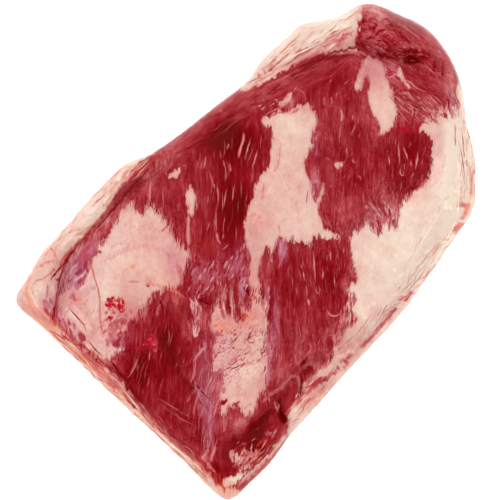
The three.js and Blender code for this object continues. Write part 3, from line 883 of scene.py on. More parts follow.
# creases, cracks, streaks and lines: width, tone, strength, hue from violet -1 to salmon 1, course
STROKES = []

# folds of the film over the lean of the flat end: the dark lines are painted shade in the folds, and the
# pale ones painted highlights along them
STROKES += rows_of("""
1.5 .08 1 0: 168 343, 174 355, 182 367, 191 378
1.5 .1 1 0: 189 376, 205 395, 213 403
.8 .12 1 0: 169 350, 173 361, 179 371, 186 380
.9 .6 1 .2: 152 397, 163 401, 184 414, 198 419
.8 .55 1 .2: 174 408, 177 416, 184 421, 191 422
""")

# the long crease of the back side, its dark lines painted shade in the crease
STROKES += rows_of("""
1.6 .42 .9 .5: 54 319, 56 297, 58 288
1.8 .38 .9 .5: 57 292, 59 280, 66 261, 71 253
3 .32 .9 0: 62 268, 68 257, 74 249, 80 243
1 .14 1 0: 78 246, 91 233, 99 226, 113 210, 124 195
2.6 .38 .8 0: 80 243, 90 231, 99 224
2.4 .36 .9 0: 106 218, 131 188, 138 181
1.2 .24 .8 0: 120 198, 130 190, 141 183, 152 177, 161 170, 170 164
4 .46 .8 0: 110 207, 118 198, 124 190, 146 167, 153 160, 162 154
1.2 .12 .8 0: 125 192, 142 176, 149 168, 155 163
1.2 .78 .8 .3: 130 183, 138 175, 146 166, 153 160
1.2 .72 .7 .6: 124 182, 132 173, 148 162
1.8 .25 .85 0: 63 263, 49 281
3 .38 .7 -.4: 54 281, 59 279
""")

# the cap along the back side; the wide pale band and the salmon band beside the crease are painted against
# the shade that falls there
STROKES += rows_of("""
6 .96 .8 .25: 72 244, 80 236, 92 222, 119 180, 129 170, 140 161
1.8 .68 .8 .9: 27 298, 28 288, 31 278, 43 258, 50 251, 60 244
1.8 .7 .6 .8: 120 172, 127 168, 134 167, 142 163
1.8 .56 .5 .5: 51 246, 55 253, 57 261
1.8 .6 .6 .4: 35 271, 43 265, 50 262, 58 260
1.8 .52 .55 .3: 32 286, 38 281, 45 278, 57 265
1.6 .62 .5 .3: 66 236, 75 231, 84 227
1.6 .64 .5 .3: 72 237, 82 231, 92 224
1.6 .62 .4 .3: 100 208, 108 199, 114 190
1.8 .6 .6 .6: 122 183, 125 175, 130 170
1.6 .62 .5 .5: 108 195, 122 180
1.3 .6 .4 .4: 94 204, 102 198, 108 190
2.4 .92 .6 0: 84 214, 94 206, 104 196
2.6 .92 .5 0: 60 248, 68 240, 78 236
3 .55 .75 .8: 58 268, 62 260, 68 252, 76 244, 106 211, 114 201
""")

# the corner of the flat end
STROKES += rows_of("""
2 .6 .6 0: 47 283, 47 291, 46 299
7 .6 .6 -.5: 43 299, 46 305, 50 310
2.4 .5 .6 -.6: 44 296, 45 302
2.4 .5 .6 -.6: 50 296, 51 304
2.6 .45 .8 .1: 43 308, 49 314, 54 321
2.4 .3 .85 0: 54 306, 54 314, 53 322
2 .72 .85 1: 27 292, 30 302, 38 317, 44 324
1.6 .94 .8 0: 31 290, 34 300, 39 309
4 .88 .7 0: 36 284, 38 294, 36 304
2.2 .9 .6 0: 52 284, 53 294
3 .78 .6 .4: 22 297, 25 304, 31 312
""")

# silverskin beside the flat end's fat
STROKES += rows_of("""
12 .86 .6 -.15: 66 306, 76 314, 84 324, 90 336
9 .84 .55 -.3: 84 296, 92 306, 96 322
10 .5 .8 -.5: 74 268, 82 260, 90 253
4.6 .38 .8 -.5: 74 276, 79 272, 82 268
3.6 .4 .8 -.5: 83 272, 88 261
4 .46 .7 -.6: 66 284, 70 280, 74 277
4 .45 .75 -.5: 77 285, 81 281, 84 277
5 .62 .7 -.7: 62 294, 67 288, 72 284
4 .5 .75 -.4: 80 254, 94 242
2.4 .44 .7 -.6: 92 258, 97 253, 103 251
1.8 .82 .8 -.2: 69 276, 73 268, 79 262
2 .84 .8 -.2: 73 284, 80 277, 87 271
2.2 .86 .8 -.2: 76 291, 83 287, 89 278, 92 266
1.8 .8 .7 -.3: 64 288, 68 274
5 .6 .75 -.7: 70 293, 77 301
4 .66 .7 .5: 77 296, 81 300
3 .58 .6 -.5: 63 272, 66 265
4 .62 .6 -.7: 61 304, 62 312, 61 318
1.6 .62 .8 .1: 91 262, 93 272, 97 285, 100 300, 100 312, 101 325, 104 338
1.2 .94 .8 0: 93 266, 95 275, 99 285, 102 297, 103 312
1.2 .34 .8 0: 67 305, 78 318, 83 323, 86 330, 86 336
1.3 .3 .8 0: 87 339, 96 350, 104 357
1.5 .95 .8 0: 64 306, 70 311, 76 318, 82 324
1.5 .95 .8 0: 84 340, 88 346, 94 352
3 .5 .75 -.5: 62 318, 68 328
2.4 .47 .75 -.5: 67 318, 71 327
2.6 .55 .75 -.5: 73 321, 75 330
5 .42 .85 -.4: 79 331, 85 343
2.4 .45 .7 -.2: 57 321, 64 330, 72 337, 80 344, 90 351
3.4 .62 .6 .2: 57 324, 64 328, 76 339
4 .72 .5 -.5: 90 288, 96 288
""")

# the flat end's fat
STROKES += rows_of("""
5 .76 .55 -.35: 98 263, 112 256, 140 246, 152 247, 164 252, 176 257
3 .77 .45 -.3: 108 250, 120 243, 132 240
9 .79 .45 -.2: 128 226, 145 232, 160 240
4 .68 .8 .8: 130 267, 136 266
2 .6 .65 .1: 127 281, 135 282, 142 282
3.4 .7 .65 .8: 144 275, 153 283, 163 288, 172 290, 184 295
2.5 .52 .65 .5: 168 288, 188 300
1.8 .5 .7 .4: 159 231, 169 228
9 .7 .6 -.6: 170 250, 173 262, 175 276
5 .58 .6 -.4: 177 262, 180 270, 182 281
12 .7 .5 -.2: 118 309, 135 313, 150 306
3 .58 .6 -.2: 111 321, 119 327
6 .4 .75 -.4: 130 318, 131 330, 133 342
9 .64 .6 0: 110 322, 113 334, 113 347
3.4 .34 .85 -.5: 114 343, 118 341, 122 338
3 .4 .7 -.2: 119 337, 125 330
5 .86 .8 0: 118 351, 125 346
4 .5 .6 0: 110 358, 118 356, 127 352
3 .55 .6 -.2: 107 338, 108 348
2.5 .25 .8 0: 152 296, 156 304, 155 315
2.2 .18 .9 0: 159 297, 163 308, 163 321
2.2 .5 .6 -.5: 166 292, 166 303, 164 317
2.2 .3 .8 -.3: 171 291, 169 305
2.2 .3 .8 -.3: 140 307, 139 319
3.4 .24 .9 0: 131 321, 137 326, 142 331
2.2 .6 .6 -.3: 147 300, 146 312, 143 322
2 .66 .7 0: 158 305, 157 318
2.4 .42 .8 0: 139 202, 141 210
2 .66 .7 -.3: 134 200, 133 209
2 .62 .7 -.3: 147 201, 148 210
1.8 .6 .7 -.3: 160 206, 163 215
""")

# the strip under the flat end, whose near-white cords along the edge are painted highlights where the film
# bridges it
STROKES += rows_of("""
2.6 .5 .7 .4: 60 333, 72 342, 92 361, 104 372
1.6 .42 .7 .1: 84 350, 94 358, 105 368
2.6 .5 .6 .5: 90 364, 113 387
1.2 .98 .9 0: 92 373, 101 381, 109 389
3 .52 .7 .2: 106 376, 122 392
2.2 .4 .8 0: 98 358, 115 373
1.6 .66 .7 .9: 50 330, 76 352, 88 364
2 .1 .95 0: 110 360, 142 402
2.2 .78 .7 .3: 112 371, 120 380, 135 399
1.6 .58 .85 .8: 148 424, 165 440, 195 466, 211 479
1.4 .4 .85 .3: 176 444, 202 466
3 .7 .6 .6: 138 416, 155 433, 172 448
4 .8 .7 0: 138 401, 152 422
1.4 .5 .7 .3: 134 404, 158 432
6 .6 .65 .2: 84 352, 98 366, 110 380, 120 391
2 .32 .6 0: 150 416, 165 430, 185 443, 203 456
1.2 .45 .6 .1: 166 428, 182 440, 198 450
3.4 .68 .75 .3: 144 413, 154 422, 180 448
5 .46 .75 .1: 120 390, 129 397, 143 411
2.2 .68 .7 .1: 202 457, 207 465, 212 471
1.8 .76 .7 0: 207 460, 211 467, 217 475
4 .88 .8 .2: 94 371, 102 378, 108 384
1.8 .93 .8 0: 94 375, 100 380, 106 386
1.2 .96 .9 0: 84 362, 95 372, 104 381
1.1 .95 .9 0: 112 389, 124 399, 136 411, 150 424
1.3 .97 .9 0: 117 382, 124 390, 138 408, 148 420
1.1 .97 .9 0: 152 431, 180 455
1.1 .96 .9 0: 176 449, 204 475
1.4 .64 .9 1: 96 368, 108 379, 134 406
1.3 .6 .9 .9: 60 338, 84 360, 94 371
1.1 .94 .8 0: 62 336, 86 356
2.2 .58 .8 .1: 164 432, 172 438, 189 453
2.2 .34 .8 0: 126 394, 131 402, 138 410
""")

# the lower muscle; its first dark lines are painted shade in a crease
STROKES += rows_of("""
1.8 .12 .8 .2: 168 352, 175 366, 191 389
1.6 .3 .8 .3: 190 388, 198 399, 214 416
1.4 .36 .6 0: 172 352, 179 365, 194 386
1.3 .78 .8 -.2: 207 343, 197 357, 194 363
1.2 .74 .8 -.2: 196 358, 195 368, 193 378
1.2 .74 .8 -.2: 199 352, 209 346
1.2 .7 .8 -.3: 193 378, 196 386, 193 395
1.3 .76 .8 -.1: 214 372, 210 382, 206 390
1.2 .76 .8 -.1: 217 380, 209 399
1.2 .62 .8 .2: 148 341, 150 338
1.1 .7 .8 0: 152 345, 155 344
1.1 .66 .8 0: 143 346, 144 343
1.2 .62 .8 0: 154 350, 157 352
11 .43 .7 -.5: 206 350, 204 366, 200 380, 197 394
3 .62 .8 -.1: 196 359, 200 352, 206 345
2.2 .68 .7 -.1: 193 364, 196 355
2.2 .62 .7 -.2: 190 385, 193 376, 197 367
2.2 .66 .7 -.2: 217 376, 212 386, 208 396
8 .48 .7 -.6: 206 402, 208 418, 208 430, 209 444
2.6 .72 .8 -.1: 214 400, 208 424
1.8 .7 .8 0: 220 396, 216 408, 213 419
1.6 .68 .8 0: 224 411, 224 436
3 .75 .8 0: 201 460, 206 454, 210 448
2.5 .75 .8 0: 210 463, 213 453, 217 445
4 .1 .8 0: 214 459, 221 476
1.8 .2 .7 0: 184 435, 196 440, 208 444
2 .56 .6 -.2: 136 352, 134 364, 129 378
3 .5 .7 -.4: 185 404, 190 396, 195 390
3 .55 .6 -.3: 218 424, 234 416
2.2 .6 .6 -.2: 232 424, 240 420, 246 418
2.6 .52 .6 -.3: 228 436, 243 428
6 .08 .8 0: 249 431, 257 425, 272 410
3 .12 .7 0: 230 440, 244 441, 256 436
1.8 .36 .75 0: 197 303, 198 312, 196 320
1.6 .42 .7 -.3: 193 308, 194 318
1.8 .4 .7 -.3: 199 318, 198 327, 196 335
1.6 .66 .7 -.3: 187 318, 190 328, 189 338
1.8 .68 .75 -.3: 203 338, 206 346, 201 354
1.7 .62 .65 -.4: 198 348, 195 360, 193 372
1.7 .7 .75 -.3: 202 384, 195 406, 193 418
1.6 .68 .7 -.2: 205 398, 203 410, 199 420
2 .7 .7 -.1: 213 420, 210 430, 212 440
1.6 .3 .7 -.2: 197 366, 196 378, 193 388
""")

# fingers at the top of the lower fat
STROKES += rows_of("""
3.4 .5 .75 -.7: 221 308, 225 319
2.6 .26 .85 -.1: 227 296, 229 314
2.4 .24 .85 -.1: 222 290, 221 300, 221 309
2.2 .3 .8 -.1: 217 292, 216 300, 214 308
4.6 .32 .85 .1: 235 284, 237 306, 240 314
5 .5 .8 -.6: 235 314, 237 320
3.4 .1 .9 0: 243 287, 247 291, 249 297
3 .3 .85 -.3: 246 296, 246 303
3.4 .5 .8 -.8: 246 303, 248 308
2.2 .84 .8 0: 224 288, 222 298, 227 317
2.2 .8 .7 .2: 231 288, 231 298, 233 318
2.4 .8 .7 -.1: 218 296, 218 304, 216 311
1.3 .9 .8 0: 242 298, 243 306
4 .82 .8 -.1: 244 277, 243 284
3.4 .46 .85 .9: 242 313, 246 317, 250 318
3 .7 .6 .3: 219 323, 231 332
3 .6 .7 .7: 216 324, 216 329
3 .5 .8 .7: 249 289, 253 294, 258 298
3 .3 .85 .3: 261 286, 263 289
3.4 .24 .85 -.3: 262 291, 264 301
3 .62 .6 -.5: 262 303, 263 311
5 .8 .6 .35: 248 322, 256 322, 262 318
1.3 .95 .8 0: 266 312, 266 334
3 .9 .7 0: 267 283, 267 296
""")

# cracks of the lower fat
STROKES += rows_of("""
1.1 .3 .8 0: 229 345, 234 341, 239 335
1.2 .26 .85 0: 245 341, 249 337, 251 330
1.1 .24 .85 0: 262 336, 263 330
2.6 .36 .8 -.1: 269 334, 271 331
4.4 .84 .6 -.5: 238 340, 244 333, 250 327
1.2 .3 .85 -.1: 230 370, 235 368, 241 364
1.1 .3 .8 0: 261 354, 264 352, 266 348
1.1 .34 .8 0: 263 373, 265 369, 265 364
6 .6 .6 -.6: 220 366, 222 376
5 .62 .6 -.6: 236 354, 230 364
4 .2 .85 0: 220 406, 224 402, 228 399
2 .35 .7 0: 231 406, 236 403, 241 401
3 .62 .8 -.5: 266 336, 269 350, 269 366, 267 384
2 .5 .6 -.3: 214 352, 217 358
4 .55 .7 -.5: 214 344, 216 336, 222 332
4 .62 .7 -.6: 226 384, 222 392
""")

# between the muscles
STROKES += rows_of("""
3 .6 .8 -.4: 244 249, 240 262, 236 273
4 .54 .7 -.5: 236 262, 232 272, 227 281
2.8 .14 .9 0: 195 297, 204 302, 212 305
5 .42 .8 -.1: 267 247, 263 276
5 .5 .8 -.6: 265 277, 267 290, 266 302
3 .62 .7 -.6: 286 241, 284 252, 279 263
2.2 .3 .8 0: 279 240, 273 262
1.6 .6 .5 .3: 281 140, 278 166, 272 176
2.6 .66 .6 .4: 265 181, 261 203
2.4 .64 .5 .5: 249 217, 256 214, 263 219
2 .55 .7 .3: 268 118, 280 113, 290 111
2 .6 .7 .3: 300 107, 294 112, 289 114
2.4 .7 .5 .4: 278 222, 280 232, 278 240
3 .42 .8 -.5: 314 182, 317 192, 316 200
2.2 .25 .8 0: 321 219, 327 227, 343 235
1.6 .5 .8 .4: 319 205, 321 216, 328 225, 336 231
""")

# the front rim, whose darkest lines are painted shade in the film's tucks
STROKES += rows_of("""
4 .5 .85 .1: 414 290, 406 296, 399 302
4 .54 .9 0: 398 306, 382 321, 375 331, 368 340, 361 346, 355 350
4 .8 .6 .2: 396 316, 378 337, 368 346
5 .58 .75 .1: 293 404, 300 398, 307 391, 314 386, 320 381
5 .84 .75 .1: 328 361, 342 357, 350 351, 358 343
2.6 .7 .8 .2: 410 291, 405 295, 400 300
2.4 .4 .75 -.4: 339 361, 352 352
3 .54 .8 .1: 350 361, 343 366, 334 371, 326 377, 308 390, 299 399
5 .42 .7 0: 330 376, 318 382, 306 387
9 .24 .9 0: 303 375, 309 371, 314 370
2.4 .14 .9 0: 299 369, 304 362, 309 357
2.8 .08 1 0: 301 376, 301 386, 299 398
2.6 .62 .8 .1: 260 404, 272 393, 284 384, 292 377, 297 376, 299 381, 298 393
3.4 .06 1 0: 279 398, 280 409, 288 428
2 .68 .8 0: 274 400, 276 407, 279 414
3 .2 .8 0: 268 408, 274 416
2.4 .68 .8 .8: 295 411, 303 404, 320 391
2.6 .92 .8 0: 314 402, 331 385
4 .86 .8 0: 289 416, 298 416, 308 411, 318 403
4.5 .86 .9 .15: 238 485, 247 477, 265 459, 274 451, 288 432
1.6 .58 .7 .3: 290 434, 280 447, 267 461, 240 484
2 .66 .7 .9: 246 484, 268 466
4 .4 .7 .3: 281 430, 287 433
2.4 .62 .7 0: 264 430, 268 435, 274 433
3 .42 .7 .2: 255 447, 262 441, 270 435
3.2 .3 .75 0: 231 461, 237 466, 243 462
2.6 .42 .7 0: 241 458, 246 455, 252 456
1.5 .4 .8 .2: 248 470, 258 462, 268 452, 277 441
4 .5 .7 .1: 312 345, 313 353, 307 359
2 .72 .7 0: 350 353, 337 362
2 .6 .6 .2: 416 288, 424 278, 431 267
""")

# the rim of the point's side: the near-white lines are pale fat with painted highlights of the film on it,
# and the tan lines beside the white pleat are painted shadow
STROKES += rows_of("""
2.6 .74 .85 .3: 465 158, 470 180, 469 198
1.8 .5 .85 .4: 470 157, 473 168, 474 178
6 .7 .9 .9: 470 199, 468 207, 460 223
1.6 .6 .9 .2: 464 202, 460 217
4 .66 .85 1: 463 221, 451 237
1.6 .64 .85 .3: 460 218, 455 227, 434 260, 427 273
1.8 .92 .8 .6: 459 172, 447 195, 430 222, 400 275
1.6 .85 .8 .5: 461 182, 455 210, 440 238, 424 268
1.6 .66 .7 .1: 453 122, 454 135, 454 148
1.7 .6 .75 .1: 456 120, 460 145, 461 154
4 .97 .85 0: 463 130, 465 142, 466 152
1.3 .55 .75 .2: 461 128, 463 152, 465 161
3.4 .97 .7 0: 457 160, 460 184, 458 196
1.4 .56 .8 .3: 458 140, 461 155, 463 170, 464 186
9 .84 .5 0: 442 148, 440 160, 438 172, 430 182, 420 190, 406 201
3 .84 .5 0: 365 236, 368 245, 374 250
2.4 .3 .8 0: 373 212, 379 224, 378 238
2 .32 .8 0: 382 209, 387 217
2 .35 .8 -.2: 389 204, 390 217, 389 232
1.8 .35 .8 -.2: 394 211, 393 222, 396 232
2.4 .35 .8 0: 443 112, 446 120
2.4 .3 .8 -.3: 450 92, 448 104, 450 118
2.2 .36 .8 -.3: 455 94, 455 104, 458 112
3 .86 .7 .1: 106 204, 119 186, 127 178, 136 171
5 .4 .8 -.2: 112 343, 117 345, 121 343
1.6 .78 .5 .4: 277 150, 276 164, 271 177
1.6 .8 .5 .4: 284 132, 282 146, 284 158
1.6 .8 .5 .1: 297 206, 298 218, 297 231
1.7 .8 .5 .5: 262 196, 270 192, 277 184
""")

# the point, with painted shadow in the dark band under the lump's lower edge, and two small painted glints
# on the lump
STROKES += rows_of("""
3 .2 .8 0: 377 38, 391 46
2.6 .24 .8 0: 357 28, 360 34, 358 40
3 .26 .7 0: 398 36, 406 40, 412 46
2.6 .26 .7 0: 382 19, 388 22, 395 29
2.4 .6 .7 0: 395 25, 404 28, 418 39
2 .6 .7 0: 376 35, 385 32, 394 33
2.2 .62 .7 0: 365 33, 372 35, 378 38
2 .6 .7 0: 372 46, 380 48, 388 51
6 .9 .8 0: 354 12, 358 16, 358 23
3 .64 .8 -.1: 344 52, 356 52, 365 55, 373 61
5 .62 .7 .1: 294 55, 303 51, 312 46
3.4 .96 .8 0: 266 66, 287 53, 294 46
4 .66 .75 -.3: 450 106, 452 118
2.2 .68 .7 0: 446 84, 447 92, 445 99
3 .22 .9 0: 392 54, 400 52, 419 51, 428 54
6 .14 .85 .4: 402 58, 428 61
3.4 .24 .8 0: 374 53, 383 56, 400 59
4 .1 .8 0: 419 57, 426 57, 432 60
2.4 .12 .8 .4: 403 62, 412 63, 421 62
3 .2 .8 0: 434 58, 434 66, 432 74
2.6 .22 .8 0: 441 60, 443 69, 442 77
3.4 .56 .6 0: 396 46, 422 47, 432 50
2 .5 .7 0: 388 61, 396 60, 402 62
2.4 .2 .85 0: 364 39, 372 37, 379 32, 386 28
3.6 .14 .85 0: 389 24, 391 28
2.2 .2 .8 0: 355 41, 366 47
2 .25 .8 0: 361 24, 366 20, 368 16
2 .25 .8 0: 370 30, 375 27, 377 22
1.5 .7 .8 0: 374 51, 376 49
1.5 .75 .8 0: 381 47, 383 48
1.8 .58 .7 0: 374 34, 382 27, 391 22
3 .6 .7 0: 361 13, 370 8, 379 10
2.4 .66 .7 0: 363 26, 368 19, 373 14
2.6 .17 .8 0: 362 18, 366 25
3 .2 .7 0: 368 30, 376 28
2.2 .56 .6 0: 384 16, 392 20, 400 26
3 .5 .6 0: 412 42, 420 47, 430 50
4 .48 .6 0: 440 52, 444 64, 445 78
1.8 .62 .8 0: 451 65, 451 76, 447 95
5 .38 .8 0: 454 68, 457 76, 457 82
2.2 .5 .7 0: 356 33, 348 37, 330 43
2.4 .42 .8 0: 364 41, 354 46, 324 54
1.8 .6 .6 .2: 354 27, 334 37, 322 42
1.7 .28 .8 0: 357 54, 345 56, 322 59, 310 63, 298 69
1.4 .3 .8 0: 302 67, 262 87
4 .56 .6 0: 344 42, 330 46, 304 56
1.6 .6 .7 .3: 318 46, 276 70
1.6 .56 .7 .3: 292 52, 258 80
2.8 .82 .85 .1: 252 85, 264 79, 313 52, 342 47
3.4 .38 .85 0: 256 89, 280 77, 292 70, 304 62, 318 57, 330 55
1.6 .62 .8 .2: 262 88, 290 74, 304 68
1.6 .55 .7 .1: 284 82, 298 75, 326 66
1.5 .6 .6 .4: 300 36, 276 58, 266 68
3 .4 .7 0: 358 44, 364 52, 372 56
2 .6 .7 0: 366 44, 371 47
2.4 .32 .8 0: 365 77, 367 86, 364 96
1.8 .12 .8 0: 395 77, 401 80
1.6 .15 .8 0: 432 93, 442 101
3.6 .46 .7 0: 365 78, 366 88, 366 98, 369 110, 372 118
2.4 .42 .7 0: 296 90, 302 94, 306 102
""")

# fresh blood: grid place, length, width, strength
BLOOD = rows_of("""
109 301 2.4 2 .9; 113 299 2 1.6 .8; 111 307 2.6 2.4 .9; 115 304 1.4 1.6 .7; 120 299 2 1.8 .8
123 303 2.2 1.6 .9; 119 306 2 1.6 .8; 121 311 2 1.6 .9; 124 309 1.4 1.2 .7; 117 301 1.2 1.2 .6
110 318 1.8 1.6 .9; 148 285 1.6 1.4 .9; 150 340 4 2.4 .9; 153 345 1.8 2.4 .9; 146 343 1.6 1.4 .9
139 337 1.8 1.6 .8; 137 349 2.4 1.6 .7; 141 346 1.6 1.2 .6; 154 337 1.4 1.2 .6; 160 349 2 4 .5
404 128 1.6 6 .8; 406 132 1.4 5 .6; 133 322 1.6 3 .5; 140 328 2 3 .5; 115 313 1.2 1.2 .6; 106 304 1.2 1 .6
116 324 1.2 1.2 .4; 228 248 3 5 .3
""")

# where fine pale threads lie close together: grid place, length, width, strength, turn
STREAKY = rows_of("""
205 275 20 20 1; 238 262 14 14 1; 78 268 16 12 .8; 72 330 10 18 .8 -45; 205 368 26 9 .6; 210 425 24 8 .8
285 250 16 10 .8; 150 200 12 24 .5; 276 340 36 8 .7; 410 108 12 22 .8; 355 110 30 14 .4; 220 290 14 10 .8
165 300 10 14 .6; 300 340 16 16 .4; 330 345 10 16 .4; 145 205 8 20 .5
""")

# silverskin, where a thin violet sheet covers the lean
SKINS = rows_of("""
64 292 16 8 1; 76 288 14 12 .9; 78 268 12 8 .7; 48 302 10 6 .8; 70 330 8 20 .8 -45; 92 248 6 10 .6 40
205 362 28 7 .5; 209 416 24 6 .6; 236 262 14 10 .5; 206 276 12 16 .5; 243 288 12 6 .8; 282 250 14 5 .9
200 395 14 10 .5; 160 300 12 10 .5; 118 342 10 10 .7; 276 320 30 5 .6; 450 108 12 6 .7
""")

# where the fat is broken by fine slanting cracks
CRACKED = rows_of("""
240 338 13 15 1; 226 364 16 14 1; 262 345 22 8 .8; 218 350 22 7 .7; 116 330 20 13 1; 240 356 8 10 .6
248 408 8 12 .6
""")

# pleats of the film, painted white as highlights: width, strength, course
PLEATS = rows_of("""
1.1 .75: 465 160, 462 175, 459 190, 458 205, 456 218, 450 232, 434 260, 428 275
.8 .55: 458 180, 450 195, 420 245, 397 288, 392 297
.7 .8: 395 290, 385 305, 378 318, 372 326
.6 .9: 152 427, 165 439, 178 450, 192 461, 204 471
.8 .8: 288 416, 296 418, 315 408
.8 .9: 311 24, 317 28, 319 35, 317 43, 310 48, 299 53, 286 60, 274 69, 264 79
.6 .7: 304 29, 291 38, 279 50, 269 64, 261 78
.6 .6: 352 17, 325 29, 316 35
.6 .6: 340 40, 326 44, 298 58
""")

# where the fat thins out softly: grid place, length, width, millimetres of softness, turn
SOFT_EDGES = rows_of("""
92 255 16 10 3 20; 75 300 20 20 2.5; 85 335 14 14 2; 182 265 24 8 2; 160 300 10 14 1.5; 130 335 18 10 2.5
240 310 14 30 1.5; 276 350 40 8 2; 235 405 14 20 1.5; 214 340 30 5 1; 255 275 30 6 .8; 370 75 14 12 1
355 300 30 8 .8; 345 335 20 10 1; 40 305 20 14 1.5; 80 345 8 50 1.5 -45; 100 215 8 60 1 45
165 435 6 90 .8 -42; 316 190 16 6 1.5; 215 315 10 10 1.5
""")

# zones of the meat that scattered strokes lie in
STREAKY_ZONE = places_of("190 258, 214 264, 232 257, 246 240, 248 288, 235 284, 222 292, 202 298, 188 290")
DARK_MIDDLE = places_of("196 158, 252 132, 268 140, 262 170, 246 210, 240 238, 215 232, 200 250, 198 200")
LOWER_MIDDLE = places_of("268 262, 290 246, 345 244, 350 270, 352 300, 325 330, 300 335, 275 300")
POINT_MIDDLE = places_of("322 95, 355 95, 372 125, 395 140, 400 195, 372 205, 330 180, 320 140")
DARK_BAY = places_of("386 140, 420 136, 430 145, 428 170, 405 190, 388 180")
LEFT_MUSCLE = places_of("124 360, 136 335, 160 310, 190 300, 192 340, 190 380, 204 430, 198 455, 150 408")
BACK_SLOPE = places_of(
    "170 150, 200 125, 246 84, 272 68, 300 55, 350 50, 335 78, 280 100, 240 122, 205 145, 180 160"
)
POINT_FAN = places_of("392 95, 414 90, 445 108, 440 122, 420 122, 400 118")
POINT_LUMP = places_of("368 12, 400 20, 435 50, 450 75, 430 80, 405 64, 378 48, 364 34")
FLAT_FAT_LOW = places_of("106 310, 128 305, 140 318, 128 335, 118 355, 108 345")
LOWER_FAT_SIDE = places_of("261 318, 274 320, 275 372, 268 402, 262 400, 266 372")
LOWER_RIM = places_of("230 445, 262 424, 290 430, 262 462, 236 470")
LEAN_RIM = places_of("300 340, 330 335, 345 345, 330 362, 300 376, 280 390, 262 400, 275 370")
GLINTS_LEFT = places_of("366 203, 386 205, 388 226, 378 238, 366 224")
GLINTS_RIGHT = places_of("384 202, 398 200, 399 232, 388 228")
POINT_GLINTS = places_of("447 86, 458 84, 461 118, 449 120")
FLAT_RIM = places_of("56 330, 110 370, 207 470, 197 480, 98 386, 46 338")
BACK_RIM = places_of("58 248, 100 205, 150 160, 142 150, 92 190, 48 240")
POINT_BACK_RIM = places_of("262 78, 310 58, 354 44, 356 14, 310 26, 258 70")
RIGHT_RIM = places_of("462 120, 472 140, 475 190, 464 215, 459 190, 461 150")
FRONT_RIM = places_of("455 222, 463 232, 410 302, 342 362, 336 352, 398 290")
LOW_RIM = places_of("330 362, 338 370, 290 428, 250 480, 242 472, 280 424, 300 386")
SLOPE_GLINTS = places_of("252 112, 262 100, 288 94, 294 102, 268 112")
SKIN_BELOW = places_of("198 345, 214 345, 212 400, 214 450, 202 452, 196 400")
SKIN_CORNER = places_of("64 264, 92 252, 92 284, 104 330, 96 346, 72 336, 58 312, 60 286")

# scattered sinews; the glint zones hold painted glints of the film, and the rim zones pale lines that are
# partly painted film highlights: zone, count, length, width, strength, seed, heading, hue
SINEW_ZONES = [
    (STREAKY_ZONE, 100, (4, 12), (0.6, 1.7), (0.1, 0.9), 31, 64, -0.3),
    (DARK_MIDDLE, 44, (6, 22), (0.4, 1.0), (0.0, 0.6), 32, 84, 0),
    (LOWER_MIDDLE, 40, (5, 20), (0.4, 0.9), (0.0, 0.55), 33, 92, 0),
    (POINT_MIDDLE, 80, (2, 8), (0.4, 0.9), (0.0, 0.55), 34, 75, 0),
    (DARK_BAY, 14, (5, 16), (0.4, 0.9), (0.1, 0.6), 35, 84, 0),
    (LEFT_MUSCLE, 80, (5, 22), (0.4, 1.0), (-0.2, 0.35), 36, 80, 0),
    (BACK_SLOPE, 80, (8, 26), (0.4, 0.9), (-0.1, 0.3), 37, 33, 0),
    (POINT_FAN, 80, (4, 14), (0.4, 1.0), (0.2, 0.9), 38, -38, 0),
    (POINT_LUMP, 60, (2, 7), (0.6, 1.4), (0.0, 0.6), 39, -20, 0),
    (LEAN_RIM, 60, (3, 10), (0.5, 1.2), (0.0, 0.5), 40, 60, 0),
    (LOWER_RIM, 40, (3, 8), (0.6, 1.4), (0.2, 0.8), 41, 40, 0),
    (GLINTS_LEFT, 26, (4, 10), (0.5, 1.2), (0.4, 1.2), 93, -50, -0.3),
    (GLINTS_RIGHT, 26, (3, 9), (0.5, 1.1), (0.4, 1.4), 94, 92, -0.3),
    (POINT_GLINTS, 28, (3, 9), (0.5, 1.1), (0.2, 1.4), 95, 95, -0.3),
    (FLAT_RIM, 110, (8, 30), (0.5, 1.4), (-0.1, 1.3), 96, -44, 0.3),
    (BACK_RIM, 40, (6, 24), (0.5, 1.5), (0.7, 1.4), 97, 44, 0.2),
    (POINT_BACK_RIM, 50, (6, 26), (0.5, 1.6), (0.5, 1.4), 98, 36, 0.2),
    (RIGHT_RIM, 40, (5, 20), (0.5, 1.4), (0.75, 1.4), 99, 92, 0.3),
    (FRONT_RIM, 60, (6, 24), (0.5, 1.4), (0.5, 1.4), 100, 50, 0.2),
    (LOW_RIM, 60, (5, 18), (0.5, 1.5), (0.2, 1.4), 101, 50, 0.3),
    (LOWER_FAT_SIDE, 46, (4, 12), (0.6, 1.4), (0.1, 0.9), 110, 88, -0.5),
    (SKIN_BELOW, 80, (5, 20), (0.5, 1.2), (0.0, 0.7), 107, 84, -0.4),
    (SKIN_CORNER, 24, (4, 12), (0.6, 1.4), (0.8, 1.2), 108, 56, -0.3),
    (SLOPE_GLINTS, 22, (1.5, 4), (0.5, 0.9), (0.6, 1.4), 109, 20, 0),
]

